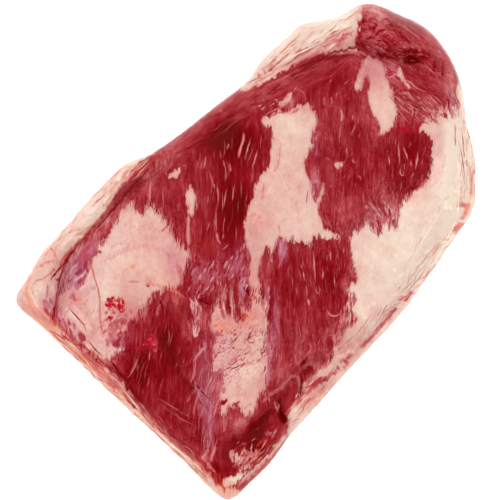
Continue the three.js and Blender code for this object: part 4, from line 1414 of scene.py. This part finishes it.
# short strands across the edges of the fat: tone, edge, count, length, width, seed, heading
FRINGES = [
    ((0.55, 0.8), FLAT_END_FAT, 110, (5, 15), (0.5, 1.3), 81, 86),
    ((0.3, 0.5), FLAT_END_FAT, 70, (5, 14), (0.6, 1.4), 82, 86),
    ((0.5, 0.75), SEAM_FAT, 80, (4, 12), (0.5, 1.2), 83, 88),
    ((0.3, 0.5), SEAM_FAT, 60, (4, 11), (0.5, 1.1), 84, 88),
    ((0.55, 0.8), LOWER_FAT, 120, (4, 13), (0.5, 1.4), 85, 80),
    ((0.3, 0.55), LOWER_FAT, 90, (4, 12), (0.6, 1.4), 86, 80),
    ((0.55, 0.8), POINT_FAT, 24, (2, 6), (0.5, 1.1), 87, 96),
    ((0.35, 0.55), POINT_FAT, 16, (2, 6), (0.5, 1.1), 88, 96),
    ((0.55, 0.8), FRONT_FAT[:24], 60, (4, 11), (0.5, 1.2), 89, 75),
    ((0.3, 0.5), FRONT_FAT[:24], 50, (4, 11), (0.5, 1.2), 90, 75),
    ((0.6, 0.85), FRONT_FAT[46:], 60, (4, 13), (0.5, 1.2), 91, 95),
    ((0.3, 0.5), FRONT_FAT[46:], 50, (4, 12), (0.5, 1.2), 92, 95),
]

# scattered dark slits and red spots: tone, zone, count, length, width, strength, seed, heading
FLECKS = [
    (0.16, DARK_MIDDLE, 30, (5, 14), (0.8, 1.6), (0.2, 0.45), 42, 86),
    (0.16, LOWER_MIDDLE, 30, (5, 14), (0.8, 1.6), (0.2, 0.45), 43, 92),
    (0.16, POINT_MIDDLE, 40, (2, 6), (0.8, 1.8), (0.2, 0.5), 44, 70),
    (0.16, POINT_LUMP, 30, (4, 10), (0.8, 2.0), (0.2, 0.5), 45, -20),
    (0.16, POINT_FAN, 24, (4, 12), (0.8, 1.4), (0.3, 0.6), 46, -38),
    (0.12, LEFT_MUSCLE, 70, (4, 16), (1.0, 2.2), (0.2, 0.6), 50, 80),
    (0.14, BACK_SLOPE, 50, (6, 20), (1.0, 2.2), (0.2, 0.5), 51, 33),
    (0.22, STREAKY_ZONE, 40, (4, 11), (1.0, 2.4), (0.3, 0.7), 52, 64),
    (0.44, FLAT_FAT_LOW, 44, (2, 6), (1.4, 3.4), (0.3, 0.7), 48, 60),
]

# how the marks carry on down the sides
SIDE_FADE = 15.0  # how far beyond the edge the foot takes its marks from
SIDE_BEND = 22.0  # how crooked they run
SIDE_START = 0.35  # share of the fade that a steep place has above the waist

FAR_GRAIN = (150, 178)  # where along the length the grain turns round
BARE_START = (-35, 0)  # where along the length the cap leaves the back side bare
BARE_END = (95, 60)
CAP_START = 0.22  # side turn at which the cap begins
CAP_DROP = 0.4  # how much lower it begins on the bare side
CAP_SHARPNESS = 30
BLOOD_SPREAD = 1.6


def paint(x, y, distance, turn):
    """All the marks of the meat, as channels over its vertices."""
    marks = Marks(x, y)
    for squares in (FLAT_END_FAT, LOWER_FAT, SEAM_FAT):
        marks.depth("fat", squares)
    for squares in (POINT_FAT, FRONT_FAT, BACK_FAT, POINT_BACK_FAT, FLAT_RIM_FAT):
        marks.depth("fat", squares, torn=0.5)
    for squares in SMALL_FATS:
        marks.depth("fat", squares, torn=0.3)
    for squares in BROKEN_FATS:
        marks.depth("fat", squares, torn=1.0, most=0.6)
    marks.dabs("lean", LEAN_TONES)
    marks.dabs("cream", FAT_TONES)
    marks.dabs("violet", VIOLETS)
    marks.dabs("salmon", SALMONS)
    for width, strength, squares in STRANDS:
        if width >= WIDE_STRAND:
            marks.line("strand", width, strength, squares, torn=0.3)
    for tone, *zone in FLECKS:
        for width, strength, squares in scattered(*zone):
            marks.stroke(width, tone, strength, 0, squares, taper=FLECK_TAPER)
    for width, tone, strength, hue, squares in STROKES:
        if width >= THIN:
            marks.stroke(width, tone, strength, hue, squares)
    for right, down, long, short, strength in BLOOD:
        marks.dab("blood", right, down, BLOOD_SPREAD * long, BLOOD_SPREAD * short, strength, torn=0.3)
    marks.dabs("skin", SKINS)
    marks.dabs("cracked", CRACKED)
    marks.dabs("streaky", STREAKY)
    marks.dabs("soft", SOFT_EDGES)

    channels = marks.channels
    channels["far"] = smooth_step(*FAR_GRAIN, x + 0.25 * y)
    marks.area("slope", BACK_SLOPE, 1.0, soft=7.0, torn=0.0)
    marks.area("lumpy", POINT_LUMP, 1.0, soft=5.0, torn=0.0)
    side = turn + 0.1 * unevenness(x / 14, y / 14, 21) + 0.06 * unevenness(x / 5, y / 5, 22)
    bare = smooth_step(*BARE_START, x) * smooth_step(*BARE_END, x) * (y > 0)
    cap = np.clip((side - CAP_START - CAP_DROP * bare) * CAP_SHARPNESS, -EDGE_DEPTH, EDGE_DEPTH)
    channels["fat"] = np.maximum(channels["fat"], cap)
    channels["cream"] += 0.06 * smooth_step(0.1, 0.6, turn)
    # painted light: the lean a little paler near the edge, for the film's sheen along the rim
    channels["lean"] += 0.1 * np.exp(-((distance / 9) ** 2))
    for name in ("violet", "salmon", "blood", "skin", "cracked"):
        channels[name] = np.clip(channels[name], 0, 1)
    return channels


def wandering(plan, height, normals, turn):
    """Where on the plan each vertex takes its marks from: down the sides they fade out and run crooked."""
    outwards = normals[:, :2] / (np.hypot(*normals[:, :2].T)[:, None] + 1e-6)
    sideways = np.column_stack([-outwards[:, 1], outwards[:, 0]])
    steep = np.maximum(smooth_step(0.5, 0.1, normals[:, 2]), smooth_step(0, 0.4, turn))
    bend = unevenness(plan[:, 0] / 13 + height / 6, plan[:, 1] / 13 - height / 9, 23)
    fade = SIDE_FADE * np.maximum(turn, SIDE_START * steep)
    return plan + outwards * fade[:, None] + sideways * (SIDE_BEND * steep * bend)[:, None]


def relief(x, y, channels, turn):
    """How far the marks stand out of the moulded face or sink into it."""
    fat = smooth_step(-1.5, 2.5, channels["fat"])
    lumps = 0.3 * unevenness(x / 7, y / 7, 51) + 0.2 * unevenness(x / 3, y / 3, 52)
    grain = 0.35 * fibres(x, y, 20, 4.0, 53) + 0.25 * fibres(x, y, 12, 2.4, 54)
    far_grain = 0.35 * fibres(x, y, 18, 4.0, 55, FAR_HEADING) + 0.2 * unevenness(x / 3, y / 3, 56)
    grain += (far_grain - grain) * channels["far"]
    rise = fat * (0.9 + lumps) + (1 - fat) * (grain + 0.2 * unevenness(x / 9, y / 9, 57))
    rise += 0.3 * channels["strand"] - 0.4 * channels["cracked"] * fat
    rise += np.clip(channels["stroke_tone"] - 0.45 * channels["stroke"], -0.4, 0.2) * 2
    return rise * smooth_step(0.9, 0.4, turn)


# ---- Finishes ----
def tint(red, green, blue):
    """A colour given as it looks on a screen, from 0 to 255, as the linear values that a shader takes."""
    channels = [c / 255 for c in (red, green, blue)]
    return tuple(c / 12.92 if c <= 0.04045 else ((c + 0.055) / 1.055) ** 2.4 for c in channels) + (1.0,)


class Value:
    """A number that varies over a surface: arithmetic on it adds Math nodes."""

    def __init__(self, finish, socket):
        self.finish, self.socket = finish, socket

    def maths(self, operation, *others):
        numbers = dict(enumerate((self,) + others))
        return self.finish.node("ShaderNodeMath", {"operation": operation}, numbers)

    def __add__(self, other):
        return self.maths("ADD", other)

    __radd__ = __add__

    def __mul__(self, other):
        return self.maths("MULTIPLY", other)

    __rmul__ = __mul__

    def __sub__(self, other):
        return self.maths("SUBTRACT", other)

    def __rsub__(self, other):
        return self.finish.node("ShaderNodeMath", {"operation": "SUBTRACT"}, {0: other, 1: self})

    def step(self, low, high):
        """0 below low and 1 above high, smooth between."""
        limits = {0: self, 1: low, 2: high, 3: 0.0, 4: 1.0}
        return self.finish.node("ShaderNodeMapRange", {"interpolation_type": "SMOOTHSTEP"}, limits)

    def towards(self, other, share):
        """This number blended to another by a share."""
        return self + (other - self) * share


NOISE_GAIN = 2.5  # stretches noise about its middle to about -1 to 1


class Finish:
    """A material under construction."""

    def __init__(self, name):
        self.material = bpy.data.materials.new(name)
        self.material.use_nodes = True
        self.nodes, self.links = self.material.node_tree.nodes, self.material.node_tree.links
        self.nodes.clear()
        self.places = self.node("ShaderNodeTexCoord", {}, {}, "Object")

    def node(self, kind, settings=None, values=None, result=0):
        made = self.nodes.new(kind)
        for name, setting in (settings or {}).items():
            if name == "stops":
                self.set_stops(made.color_ramp, setting)
            else:
                setattr(made, name, setting)
        for name, value in (values or {}).items():
            if isinstance(value, Value):
                self.links.new(value.socket, made.inputs[name])
            else:
                made.inputs[name].default_value = value
        return Value(self, made.outputs[result])

    @staticmethod
    def set_stops(ramp, stops):
        while len(ramp.elements) < len(stops):
            ramp.elements.new(1.0)
        for element, (position, colour) in zip(ramp.elements, stops):
            element.position, element.color = position, colour

    def mark(self, name):
        return self.node("ShaderNodeAttribute", {"attribute_name": name}, {}, "Fac")

    def stretched(self, size, heading):
        """Places for a pattern whose cells have this size in millimetres, turned to a heading."""
        stretch = {"Vector": self.places, "Rotation": (0, 0, heading), "Scale": [s * METRES for s in size]}
        return self.node("ShaderNodeMapping", {"vector_type": "TEXTURE"}, stretch)

    def noise(self, size, detail=2.0, roughness=0.5, heading=0.0, distortion=0.0):
        """Noise from about -1 to 1 whose spots have this size in millimetres, turned to a heading."""
        stretched = self.stretched(size, heading)
        spots = {"Vector": stretched, "Scale": 1.0, "Detail": detail, "Roughness": roughness}
        spots["Distortion"] = distortion
        return (self.node("ShaderNodeTexNoise", {}, spots, "Fac") - 0.5) * NOISE_GAIN

    def dashes(self, size, heading, share=0.3, reach=0.17):
        """Scattered short dashes of about this size in millimetres, in this share of their cells."""
        stretched = self.stretched([s / reach / 2 for s in size], heading)
        cells = self.nodes.new("ShaderNodeTexVoronoi")
        self.links.new(stretched.socket, cells.inputs["Vector"])
        cells.inputs["Scale"].default_value = 1.0
        distance, chance = Value(self, cells.outputs["Distance"]), Value(self, cells.outputs["Color"])
        filled = chance.step(0.72 - 0.5 * share, 0.78 - 0.5 * share)
        return (distance * -1).step(-reach, -0.4 * reach) * filled

    def mix(self, share, first, second, blend="MIX"):
        settings = {"data_type": "RGBA", "clamp_factor": True, "blend_type": blend}
        return self.node("ShaderNodeMix", settings, {0: share, 6: first, 7: second}, 2)

    def ramp(self, value, colours):
        """Colours evenly spaced from 0 to 1."""
        stops = [(i / (len(colours) - 1), tint(*colour)) for i, colour in enumerate(colours)]
        return self.node("ShaderNodeValToRGB", {"stops": stops}, {0: value})

    def bump(self, height, distance, strength=1.0):
        return self.node(
            "ShaderNodeBump", {}, {"Height": height, "Distance": distance * METRES, "Strength": strength}
        )

    def held_back(self, colour):
        """The surface's own share of a colour as it looks."""
        return self.mix(1.0, colour, (BASE_SHARE, BASE_SHARE, BASE_SHARE, 1.0), "MULTIPLY")

    def beef(self, colour, values):
        """Finished wet beef of this colour."""
        look = {"Base Color": colour, "Roughness": MEAT_ROUGHNESS, "Specular IOR Level": MEAT_SPECULAR}
        return self.done(self.node("ShaderNodeBsdfPrincipled", {}, {**look, **values}))

    def done(self, shader):
        output = self.nodes.new("ShaderNodeOutputMaterial")
        self.links.new(shader.socket, output.inputs["Surface"])
        return self.material


# from the deepest red of lean meat to the palest fat, in steps of a tenth, plain and in two hues
MEAT_COLOURS = [
    (112, 0, 0), (124, 0, 0), (138, 1, 10), (153, 20, 31), (169, 43, 52), (187, 71, 76), (204, 100, 106),
    (217, 132, 130), (227, 165, 155), (240, 201, 187), (252, 232, 212),
]
SILVERSKIN_COLOURS = [
    (106, 0, 4), (119, 0, 16), (134, 6, 34), (149, 29, 52), (166, 54, 77), (183, 82, 106), (196, 110, 132),
    (209, 140, 154), (222, 168, 175), (235, 197, 198), (248, 227, 221),
]
SALMON_COLOURS = [
    (122, 0, 0), (144, 2, 2), (166, 23, 17), (186, 46, 37), (204, 71, 56), (220, 98, 79), (231, 124, 101),
    (240, 150, 125), (245, 174, 150), (248, 203, 180), (253, 230, 210),
]
BLOOD_COLOURS = [(130, 0, 8), (186, 0, 30), (214, 20, 56), (232, 84, 104)]
BASE_SHARE = 0.76  # how much of a colour as it looks the surface itself holds, the light giving the rest
MEAT_ROUGHNESS = 0.5
MEAT_SPECULAR = 0.02  # almost none, because the gloss is the film's
FAR_THREADS = math.radians(-84)
SLOPE_THREADS = math.radians(-17)
LUMP_HEADING = math.radians(-60)


def meat_finish():
    """Lean and fat on a scale of tones, which ramps turn to colours, with blood over them."""
    finish = Finish("wet_raw_beef")

    # strands and threads of the grain, which runs otherwise at the point end and on the back slope
    far = finish.mark("far")
    strands = finish.noise((24, 3.4, 5), 4, 0.62, GRAIN_HEADING, 0.3)
    far_strands = finish.noise((18, 3.0, 5), 4, 0.62, FAR_HEADING, 0.3)
    slope = finish.mark("slope")
    slope_strands = finish.noise((40, 4.0, 6), 4, 0.6, SLOPE_HEADING, 0.3)
    strands = strands.towards(far_strands, far).towards(slope_strands, slope)
    fine = finish.noise((9, 1.2, 2), 3, 0.6, GRAIN_HEADING)
    far_fine = finish.noise((7, 1.5, 2), 3, 0.6, FAR_THREADS)
    slope_fine = finish.noise((14, 1.4, 3), 3, 0.6, SLOPE_THREADS)
    fine = fine.towards(far_fine, far).towards(slope_fine, slope)

    # tone of the lean
    streaky = finish.mark("streaky")
    long_threads = finish.dashes((9, 0.9, 1.4), GRAIN_HEADING + 0.05, 0.5)
    threads = long_threads + finish.dashes((5, 0.8, 1.2), GRAIN_HEADING - 0.1, 0.6)
    far_threads = finish.dashes((9, 0.9, 1.4), FAR_THREADS, 0.6)
    threads = threads.towards(far_threads, far)
    pits = finish.dashes((5, 1.3, 2), GRAIN_HEADING, 0.5)
    clouds = finish.noise((13, 13, 13), 4, 0.6)
    grit = finish.noise((2.4, 1.5, 2), 3, 0.65)
    lean = finish.mark("lean") + strands * 0.22 + fine * 0.17 + clouds * 0.16 + grit * 0.12 + 0.345
    lean = lean + threads * (streaky * 0.24 + 0.12) - pits * 0.08
    lean = lean + finish.noise((6, 4, 4), 4, 0.65, LUMP_HEADING, 1.0) * 0.3 * finish.mark("lumpy")

    # silverskin over it
    webs = finish.noise((15, 3, 5), 4, 0.65, GRAIN_HEADING, 0.6)
    skin = (finish.mark("skin") + webs * 0.3).step(0.15, 0.9)
    lean = lean.towards(webs * 0.16 + clouds * 0.08 + grit * 0.05 + fine * 0.05 + 0.66, skin)

    # tone of the fat
    mottle = finish.noise((7, 7, 7), 4, 0.65)
    blush = finish.noise((30, 16, 20), 3, 0.55, GRAIN_HEADING)
    veins = (finish.noise((13, 9, 9), 3, 0.5, GRAIN_HEADING, 0.5).maths("ABSOLUTE") * -9 + 1).step(0, 1)
    cream = finish.mark("cream") + mottle * 0.07 - blush.step(0.0, 0.9) * 0.08 + grit * 0.03 + 0.87
    cream = cream - veins * blush.step(-0.4, 0.4) * 0.03
    cracks = finish.noise((9, 4.2, 5), 4, 0.68, -0.05, 1.8).step(0.05, 0.27) * finish.mark("cracked")
    cream = cream - cracks * 0.5

    # the fat's torn edge, and the strands and strokes over both
    ragged = finish.noise((12, 2.6, 4), 4, 0.62, GRAIN_HEADING)
    ragged = ragged.towards(slope_strands, slope.step(0.05, 0.4))
    frayed = finish.noise((2.5, 1.4, 2), 3, 0.6, GRAIN_HEADING)
    soft = finish.mark("soft") + 0.6
    over = (finish.mark("fat") + ragged * (soft * 1.4 + 2.6) + frayed * 1.2).step(soft * -1, soft)
    thick = (finish.mark("fat") + ragged * 3).step(-1.0, 4.0)
    tone = lean.towards(cream - (1 - thick) * (finish.mark("soft") * 0.05 + 0.06), over)
    tone = tone.towards(0.76, (finish.mark("strand") + frayed * 0.25).step(0.15, 0.95))
    stroke = finish.mark("stroke")
    stroke_tone = finish.mark("stroke_tone").maths("DIVIDE", stroke + 0.001)
    covered = (stroke + frayed * 0.42 + ragged * 0.16).step(0.1, 0.9)
    tone = tone.towards(stroke_tone + grit * 0.07 + fine * 0.08 + strands * 0.06, covered)

    # colour in the three hues
    colour = finish.ramp(tone, MEAT_COLOURS)
    veil = finish.noise((9, 3, 5), 3, 0.6, GRAIN_HEADING)
    warmth = finish.noise((11, 8, 8), 3, 0.6, GRAIN_HEADING)
    violet = finish.mark("violet") * (veil * 0.5 + 0.75) + skin * 0.7 * (1 - over) + cracks * 0.6
    violet = violet + (warmth * -1).step(0.1, 0.9) * 0.3 * over
    colour = finish.mix(violet, colour, finish.ramp(tone, SILVERSKIN_COLOURS))
    salmon = finish.mark("salmon") + warmth.step(0.1, 0.9) * 0.3 * over
    colour = finish.mix(salmon, colour, finish.ramp(tone, SALMON_COLOURS))

    # blood
    clot = finish.noise((3.4, 3.4, 3.4), 2, 0.6, 0.0, 1.0)
    net = 1 - finish.noise((3.6, 3.6, 3.6), 2, 0.5, 0.0, 0.6).maths("ABSOLUTE").step(0.12, 0.42)
    shades = finish.ramp(finish.noise((2.0, 2.0, 2.0)) * 0.6 + 0.5, BLOOD_COLOURS)
    bloody = (finish.mark("blood") * 0.8 + clot * 0.2 + net * 0.7).step(0.95, 1.2)
    colour = finish.mix(bloody, colour, shades)
    colour = finish.held_back(colour)

    relief = finish.bump(fine * (1 - over) + mottle * 0.8 + grit * 0.4, 0.35, 0.7)
    return finish.beef(colour, {"Normal": relief})


def strand_finish(name):
    """Strands of fat and sinew, the slits between them, and painted glints and painted crease shade, in the
    tones of the meat.
    """
    finish = Finish(name)
    grit = finish.noise((5, 1.5, 2), 3, 0.6, GRAIN_HEADING)
    tone = finish.mark("tone") + grit * 0.12
    colour = finish.ramp(tone, MEAT_COLOURS)
    colour = finish.mix(finish.mark("violet"), colour, finish.ramp(tone, SILVERSKIN_COLOURS))
    colour = finish.mix(finish.mark("salmon"), colour, finish.ramp(tone, SALMON_COLOURS))
    colour = finish.held_back(colour)
    return finish.beef(colour, {})


def pleat_highlight_finish():
    """The film where it is gathered into fine pleats, painted white as highlights along them."""
    finish = Finish("pleated_film_painted_highlight")
    grit = finish.noise((6, 6, 6), 3, 0.6)
    white = finish.ramp(grit * 0.5 + 0.5, [(250, 236, 226), (255, 252, 248)])
    clouded = {"Base Color": white, "Roughness": 0.3, "Alpha": finish.mark("tone") + grit * 0.2}
    return finish.done(finish.node("ShaderNodeBsdfPrincipled", {}, clouded))


FILM_ROUGHNESS = 0.1
FILM_IOR = 1.11


def film_finish():
    """Clear film that adds only its sheen to what lies under it."""
    finish = Finish("clear_film")
    ripple = finish.noise((7, 7, 7), 4, 0.6)
    crinkle = finish.noise((2.5, 2.5, 2.5), 3, 0.6)
    surface = finish.bump(ripple + crinkle * 0.5, 0.35, 0.7)
    shine = {"Color": (1, 1, 1, 1), "Roughness": FILM_ROUGHNESS, "Normal": surface}
    gloss = finish.node("ShaderNodeBsdfGlossy", {}, shine)
    clear = finish.node("ShaderNodeBsdfTransparent")
    sheen = finish.node("ShaderNodeFresnel", {}, {"IOR": FILM_IOR, "Normal": surface})
    film = finish.node("ShaderNodeMixShader", {}, {0: sheen, 1: clear, 2: gloss})
    return finish.done(film)


# ---- Pieces ----
def keep_mark(piece, name, values):
    mark = piece.data.attributes.new(name, "FLOAT", "POINT")
    mark.data.foreach_set("value", values.astype(np.float32))


def in_metres(plan, height):
    return np.column_stack([plan - drawing_middle, height]) * METRES


def finish_piece(piece, material):
    piece.data.materials.clear()
    piece.data.materials.append(material)
    bpy.ops.object.select_all(action="DESELECT")
    piece.select_set(True)
    bpy.context.view_layer.objects.active = piece
    bpy.ops.object.mode_set(mode="EDIT")
    bpy.ops.mesh.select_all(action="SELECT")
    bpy.ops.mesh.normals_make_consistent(inside=False)
    bpy.ops.object.mode_set(mode="OBJECT")
    bpy.ops.object.shade_smooth()
    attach(piece, "root")
    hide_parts("brisket")


CORD_SIDES = 6
CORD_STEPS = 9
CORD_FOOT = 10.0  # height on the sides that no cord comes below


def cord_blank(name, count):
    """Copies of a straight thin cord of unit length, one behind the other in one mesh."""
    bpy.ops.object.select_all(action="DESELECT")
    bpy.ops.mesh.primitive_cylinder_add(
        vertices=CORD_SIDES, radius=1, depth=1, end_fill_type="TRIFAN", location=(0, 0, 0.5)
    )
    cord = bpy.context.object
    cord.name = name
    bpy.ops.object.transform_apply(location=True, rotation=True, scale=True)
    bpy.ops.object.mode_set(mode="EDIT")
    bpy.ops.mesh.select_mode(type="EDGE")
    bpy.ops.mesh.select_all(action="DESELECT")
    bpy.ops.object.mode_set(mode="OBJECT")
    for edge in cord.data.edges:
        low, high = (cord.data.vertices[v].co.z for v in edge.vertices)
        edge.select = abs(high - low) > 0.5
    bpy.ops.object.mode_set(mode="EDIT")
    bpy.ops.mesh.subdivide(number_cuts=CORD_STEPS - 1)
    bpy.ops.object.mode_set(mode="OBJECT")
    copies = cord.modifiers.new("copies", "ARRAY")
    copies.count = count
    copies.relative_offset_displace = (0, 0, 0)
    bpy.ops.object.modifier_apply(modifier="copies")
    return cord


def height_on(piece, plan):
    """Heights of a piece's upper face over these plan places."""
    heights = []
    for x, y in (plan - drawing_middle) * METRES:
        found, spot, _, _ = piece.ray_cast((x, y, 1.0), (0, 0, -1))
        heights.append(spot[2] / METRES if found else 0.0)
    return np.array(heights)


def lay_cords(name, strokes, piece, rise, seed, slack=0.12):
    """Thin tapering cords laid along strokes on a piece, with each vertex's stroke and share along it."""
    draw = np.random.default_rng(seed)
    cords = cord_blank(name, len(strokes))
    blank = coordinates(cords).reshape(len(strokes), -1, 3)
    places = blank.copy()
    levels = np.round(blank[0, :, 2] * CORD_STEPS).astype(int)
    for i, stroke in enumerate(strokes):
        width, squares = stroke[0], stroke[-1]
        line = smooth_line(on_meat(squares), steps=6)
        along = running_lengths(line)
        at = np.linspace(0, along[-1], CORD_STEPS + 1)
        middle = np.column_stack([np.interp(at, along, line[:, 0]), np.interp(at, along, line[:, 1])])
        way = np.gradient(middle, axis=0)
        way /= np.hypot(*way.T)[:, None] + 1e-9
        across = np.column_stack([-way[:, 1], way[:, 0]])
        middle += across * draw.normal(0, slack * width, len(middle))[:, None]
        share = np.linspace(0, 1, CORD_STEPS + 1)
        half = width / 2 * (0.08 + np.sin(math.pi * share) ** 1.2) * draw.uniform(0.6, 1.4, len(share))
        height = height_on(piece, middle)
        off = height < CORD_FOOT
        height[off] = height[~off].min()
        sideways = blank[i, :, 0] * half[levels]
        places[i, :, :2] = middle[levels] + across[levels] * sideways[:, None] - drawing_middle
        swell = rise * (0.3 + 0.7 * np.sin(math.pi * share[levels]))
        places[i, :, 2] = height[levels] + blank[i, :, 1] * swell
    place_vertices(cords, places.reshape(-1, 3) * METRES)
    stroke_of = np.repeat(np.arange(len(strokes)), len(levels))
    return cords, stroke_of, np.tile(levels / CORD_STEPS, len(strokes))


SINEW_TONE = 0.42  # tone of a strand of no strength
STRAND_CONTRAST = 0.38  # how much paler one of full strength is
SCATTERED_CONTRAST = 0.4  # and a scattered one
FRINGE_HUE = -0.15
PALE_TONE = 0.62  # strokes of this tone and above go with the sinews and painted glints, and darker ones with the slits and painted crease shade
END_TONE = 0.4  # tone that every cord ends in
SINEW_RISE = 0.3  # how far the cords stand out of the meat
PLEAT_RISE = 0.4  # and out of the film


def thin_strokes():
    """Every thin strand and line: width, tone, hue and course."""
    strokes = []
    for width, strength, squares in STRANDS:
        if width < WIDE_STRAND:
            strokes.append((width, SINEW_TONE + STRAND_CONTRAST * strength, 0, squares))
    strokes += [(width, tone, hue, squares) for width, tone, _, hue, squares in STROKES if width < THIN]
    for *zone, hue in SINEW_ZONES:
        for width, strength, squares in scattered(*zone):
            strokes.append((width, SINEW_TONE + SCATTERED_CONTRAST * strength, hue, squares))
    for tones, edge, count, length, widths, seed, heading in FRINGES:
        for width, tone, squares in fringe(edge, count, length, widths, tones, seed, heading):
            strokes.append((width, tone, FRINGE_HUE, squares))
    return strokes


def make_thin_cords(meat):
    """Thin cords: the pale ones stand for sinew and fat and for painted glints of the film, the dark ones
    for slits and for painted shade in creases.
    """
    strokes = thin_strokes()
    lines = [smooth_line(on_meat(stroke[-1]), steps=6)[:, :2] for stroke in strokes]
    strokes = [stroke for stroke, line in zip(strokes, lines) if height_on(meat, line).min() > CORD_FOOT]
    pale = [stroke for stroke in strokes if stroke[1] >= PALE_TONE]
    dark = [stroke for stroke in strokes if stroke[1] < PALE_TONE]
    for name, kind, seed, look in (("sinews", pale, 61, "pale_sinew_and_glint"), ("slits", dark, 63, "dark_slit_and_crease_shade")):
        cords, stroke, share = lay_cords(name, kind, meat, SINEW_RISE, seed)
        tones = np.array([tone for _, tone, _, _ in kind])
        hues = np.array([hue for _, _, hue, _ in kind])
        keep_mark(cords, "tone", END_TONE + (tones[stroke] - END_TONE) * np.sin(math.pi * share) ** 0.4)
        keep_mark(cords, "violet", np.maximum(-hues[stroke], 0))
        keep_mark(cords, "salmon", np.maximum(hues[stroke], 0))
        finish_piece(cords, strand_finish(look))


def make_pleats(film):
    """Fine lines where the film is gathered, painted white as highlights."""
    pleats, stroke, share = lay_cords("film_pleats_painted_highlight", PLEATS, film, PLEAT_RISE, 62, slack=0.05)
    strength = np.array([strength for _, strength, _ in PLEATS])[stroke]
    keep_mark(pleats, "tone", strength * np.sin(math.pi * share) ** 0.5)
    finish_piece(pleats, pleat_highlight_finish())


MEAT_FOOT = 0.3  # clearance of the meat over the surface that the film lies on
FILM_LIFT = 1.2  # how far the film stands off the moulded form, over the relief of the fat
FILM_SIDE = 0.7  # and at the edge and down the sides


def make_brisket():
    """The meat and the film are moulded from one blank, and the fine cords are laid on them."""
    meat = slab_blank("meat")
    plan, height, turn, distance = mould(coordinates(meat))
    plan = pulled_out(plan, distance)
    place_vertices(meat, in_metres(plan, height))
    normals = vertex_normals(meat)
    channels = paint(*wandering(plan, height, normals, turn).T, distance, turn)
    base = coordinates(meat)

    film = meat.copy()
    film.data = meat.data.copy()
    film.name = "film"
    bpy.context.scene.collection.objects.link(film)

    raised = base + normals * relief(plan[:, 0], plan[:, 1], channels, turn)[:, None] * METRES
    raised[:, 2] = np.maximum(raised[:, 2], MEAT_FOOT * METRES)
    place_vertices(meat, raised)
    for name, values in channels.items():
        keep_mark(meat, name, values)

    crinkle = 0.25 * unevenness(*plan.T / 11, 71) + 0.12 * unevenness(*plan.T / 4, 72)
    lift = FILM_SIDE + (FILM_LIFT - FILM_SIDE) * smooth_step(0.3, 0, turn) * smooth_step(0, 8, distance)
    lifted = base + normals * (lift + crinkle * smooth_step(0.8, 0.3, turn))[:, None] * METRES
    lifted[:, 2] = np.maximum(lifted[:, 2], 0)
    place_vertices(film, lifted)

    finish_piece(meat, meat_finish())
    finish_piece(film, film_finish())
    make_thin_cords(meat)
    make_pleats(film)


# ---- Studio ----
def floor_finish():
    """A table so pale that it looks white."""
    finish = Finish("pale_table")
    speckle = finish.noise((60, 60, 60))
    colour = finish.ramp(speckle * 0.5 + 0.5, [(250, 250, 250), (253, 253, 253)])
    look = {"Base Color": colour, "Roughness": 0.8}
    glow = {"Emission Color": (1, 1, 1, 1), "Emission Strength": 0.35}
    return finish.done(finish.node("ShaderNodeBsdfPrincipled", {}, {**look, **glow}))


TABLE_SIZE = 14.0  # metres, as is the level
TABLE_LEVEL = -0.0004
SURROUND_LIGHT = 0.75
LAMPS = 5
LAMP_START = 0.4  # heading of the first lamp, as a share of the gap between two
LAMP_TILT = math.radians(50)
LAMP_SPREAD = math.radians(46)
LAMP_POWER = 0.67
LAMP_DIFFERENCE = 0.25  # share by which the lamps at the front are stronger than the middling ones
LAMP_FRONT = math.radians(60)


def studio():
    """The table, the lamps, the surround and the camera."""
    bpy.ops.object.select_all(action="DESELECT")
    bpy.ops.mesh.primitive_plane_add(size=TABLE_SIZE, location=(0, 0, TABLE_LEVEL))
    floor = bpy.context.object
    floor.name = "table"
    bpy.ops.object.transform_apply(location=True, rotation=True, scale=True)
    floor.data.materials.append(floor_finish())

    world = bpy.data.worlds.new("studio")
    bpy.context.scene.world = world
    world.use_nodes = True
    background = world.node_tree.nodes["Background"]
    background.inputs["Color"].default_value = (1, 1, 1, 1)
    background.inputs["Strength"].default_value = SURROUND_LIGHT

    for i in range(LAMPS):
        heading = 2 * math.pi * (i + LAMP_START) / LAMPS
        bpy.ops.object.light_add(type="SUN", rotation=(0, LAMP_TILT, heading))
        lamp = bpy.context.object.data
        lamp.energy = LAMP_POWER * (1 + LAMP_DIFFERENCE * math.cos(heading - LAMP_FRONT))
        lamp.angle = LAMP_SPREAD

    bpy.context.scene.view_settings.view_transform = "Standard"

    bpy.ops.object.camera_add()
    camera = bpy.context.object
    middle = VIEW_MIDDLE - drawing_middle
    camera.location = (middle[0] * METRES, middle[1] * METRES, (VIEW_LEVEL + CAMERA_DISTANCE) * METRES)
    camera.rotation_euler = (0, 0, math.radians(-VIEW_TURN))
    camera.data.sensor_width = SENSOR_WIDTH
    camera.data.lens = SENSOR_WIDTH * CAMERA_DISTANCE / VIEW_WIDTH
    camera.data.clip_end = VIEW_END
    bpy.context.scene.camera = camera


make_brisket()
studio()
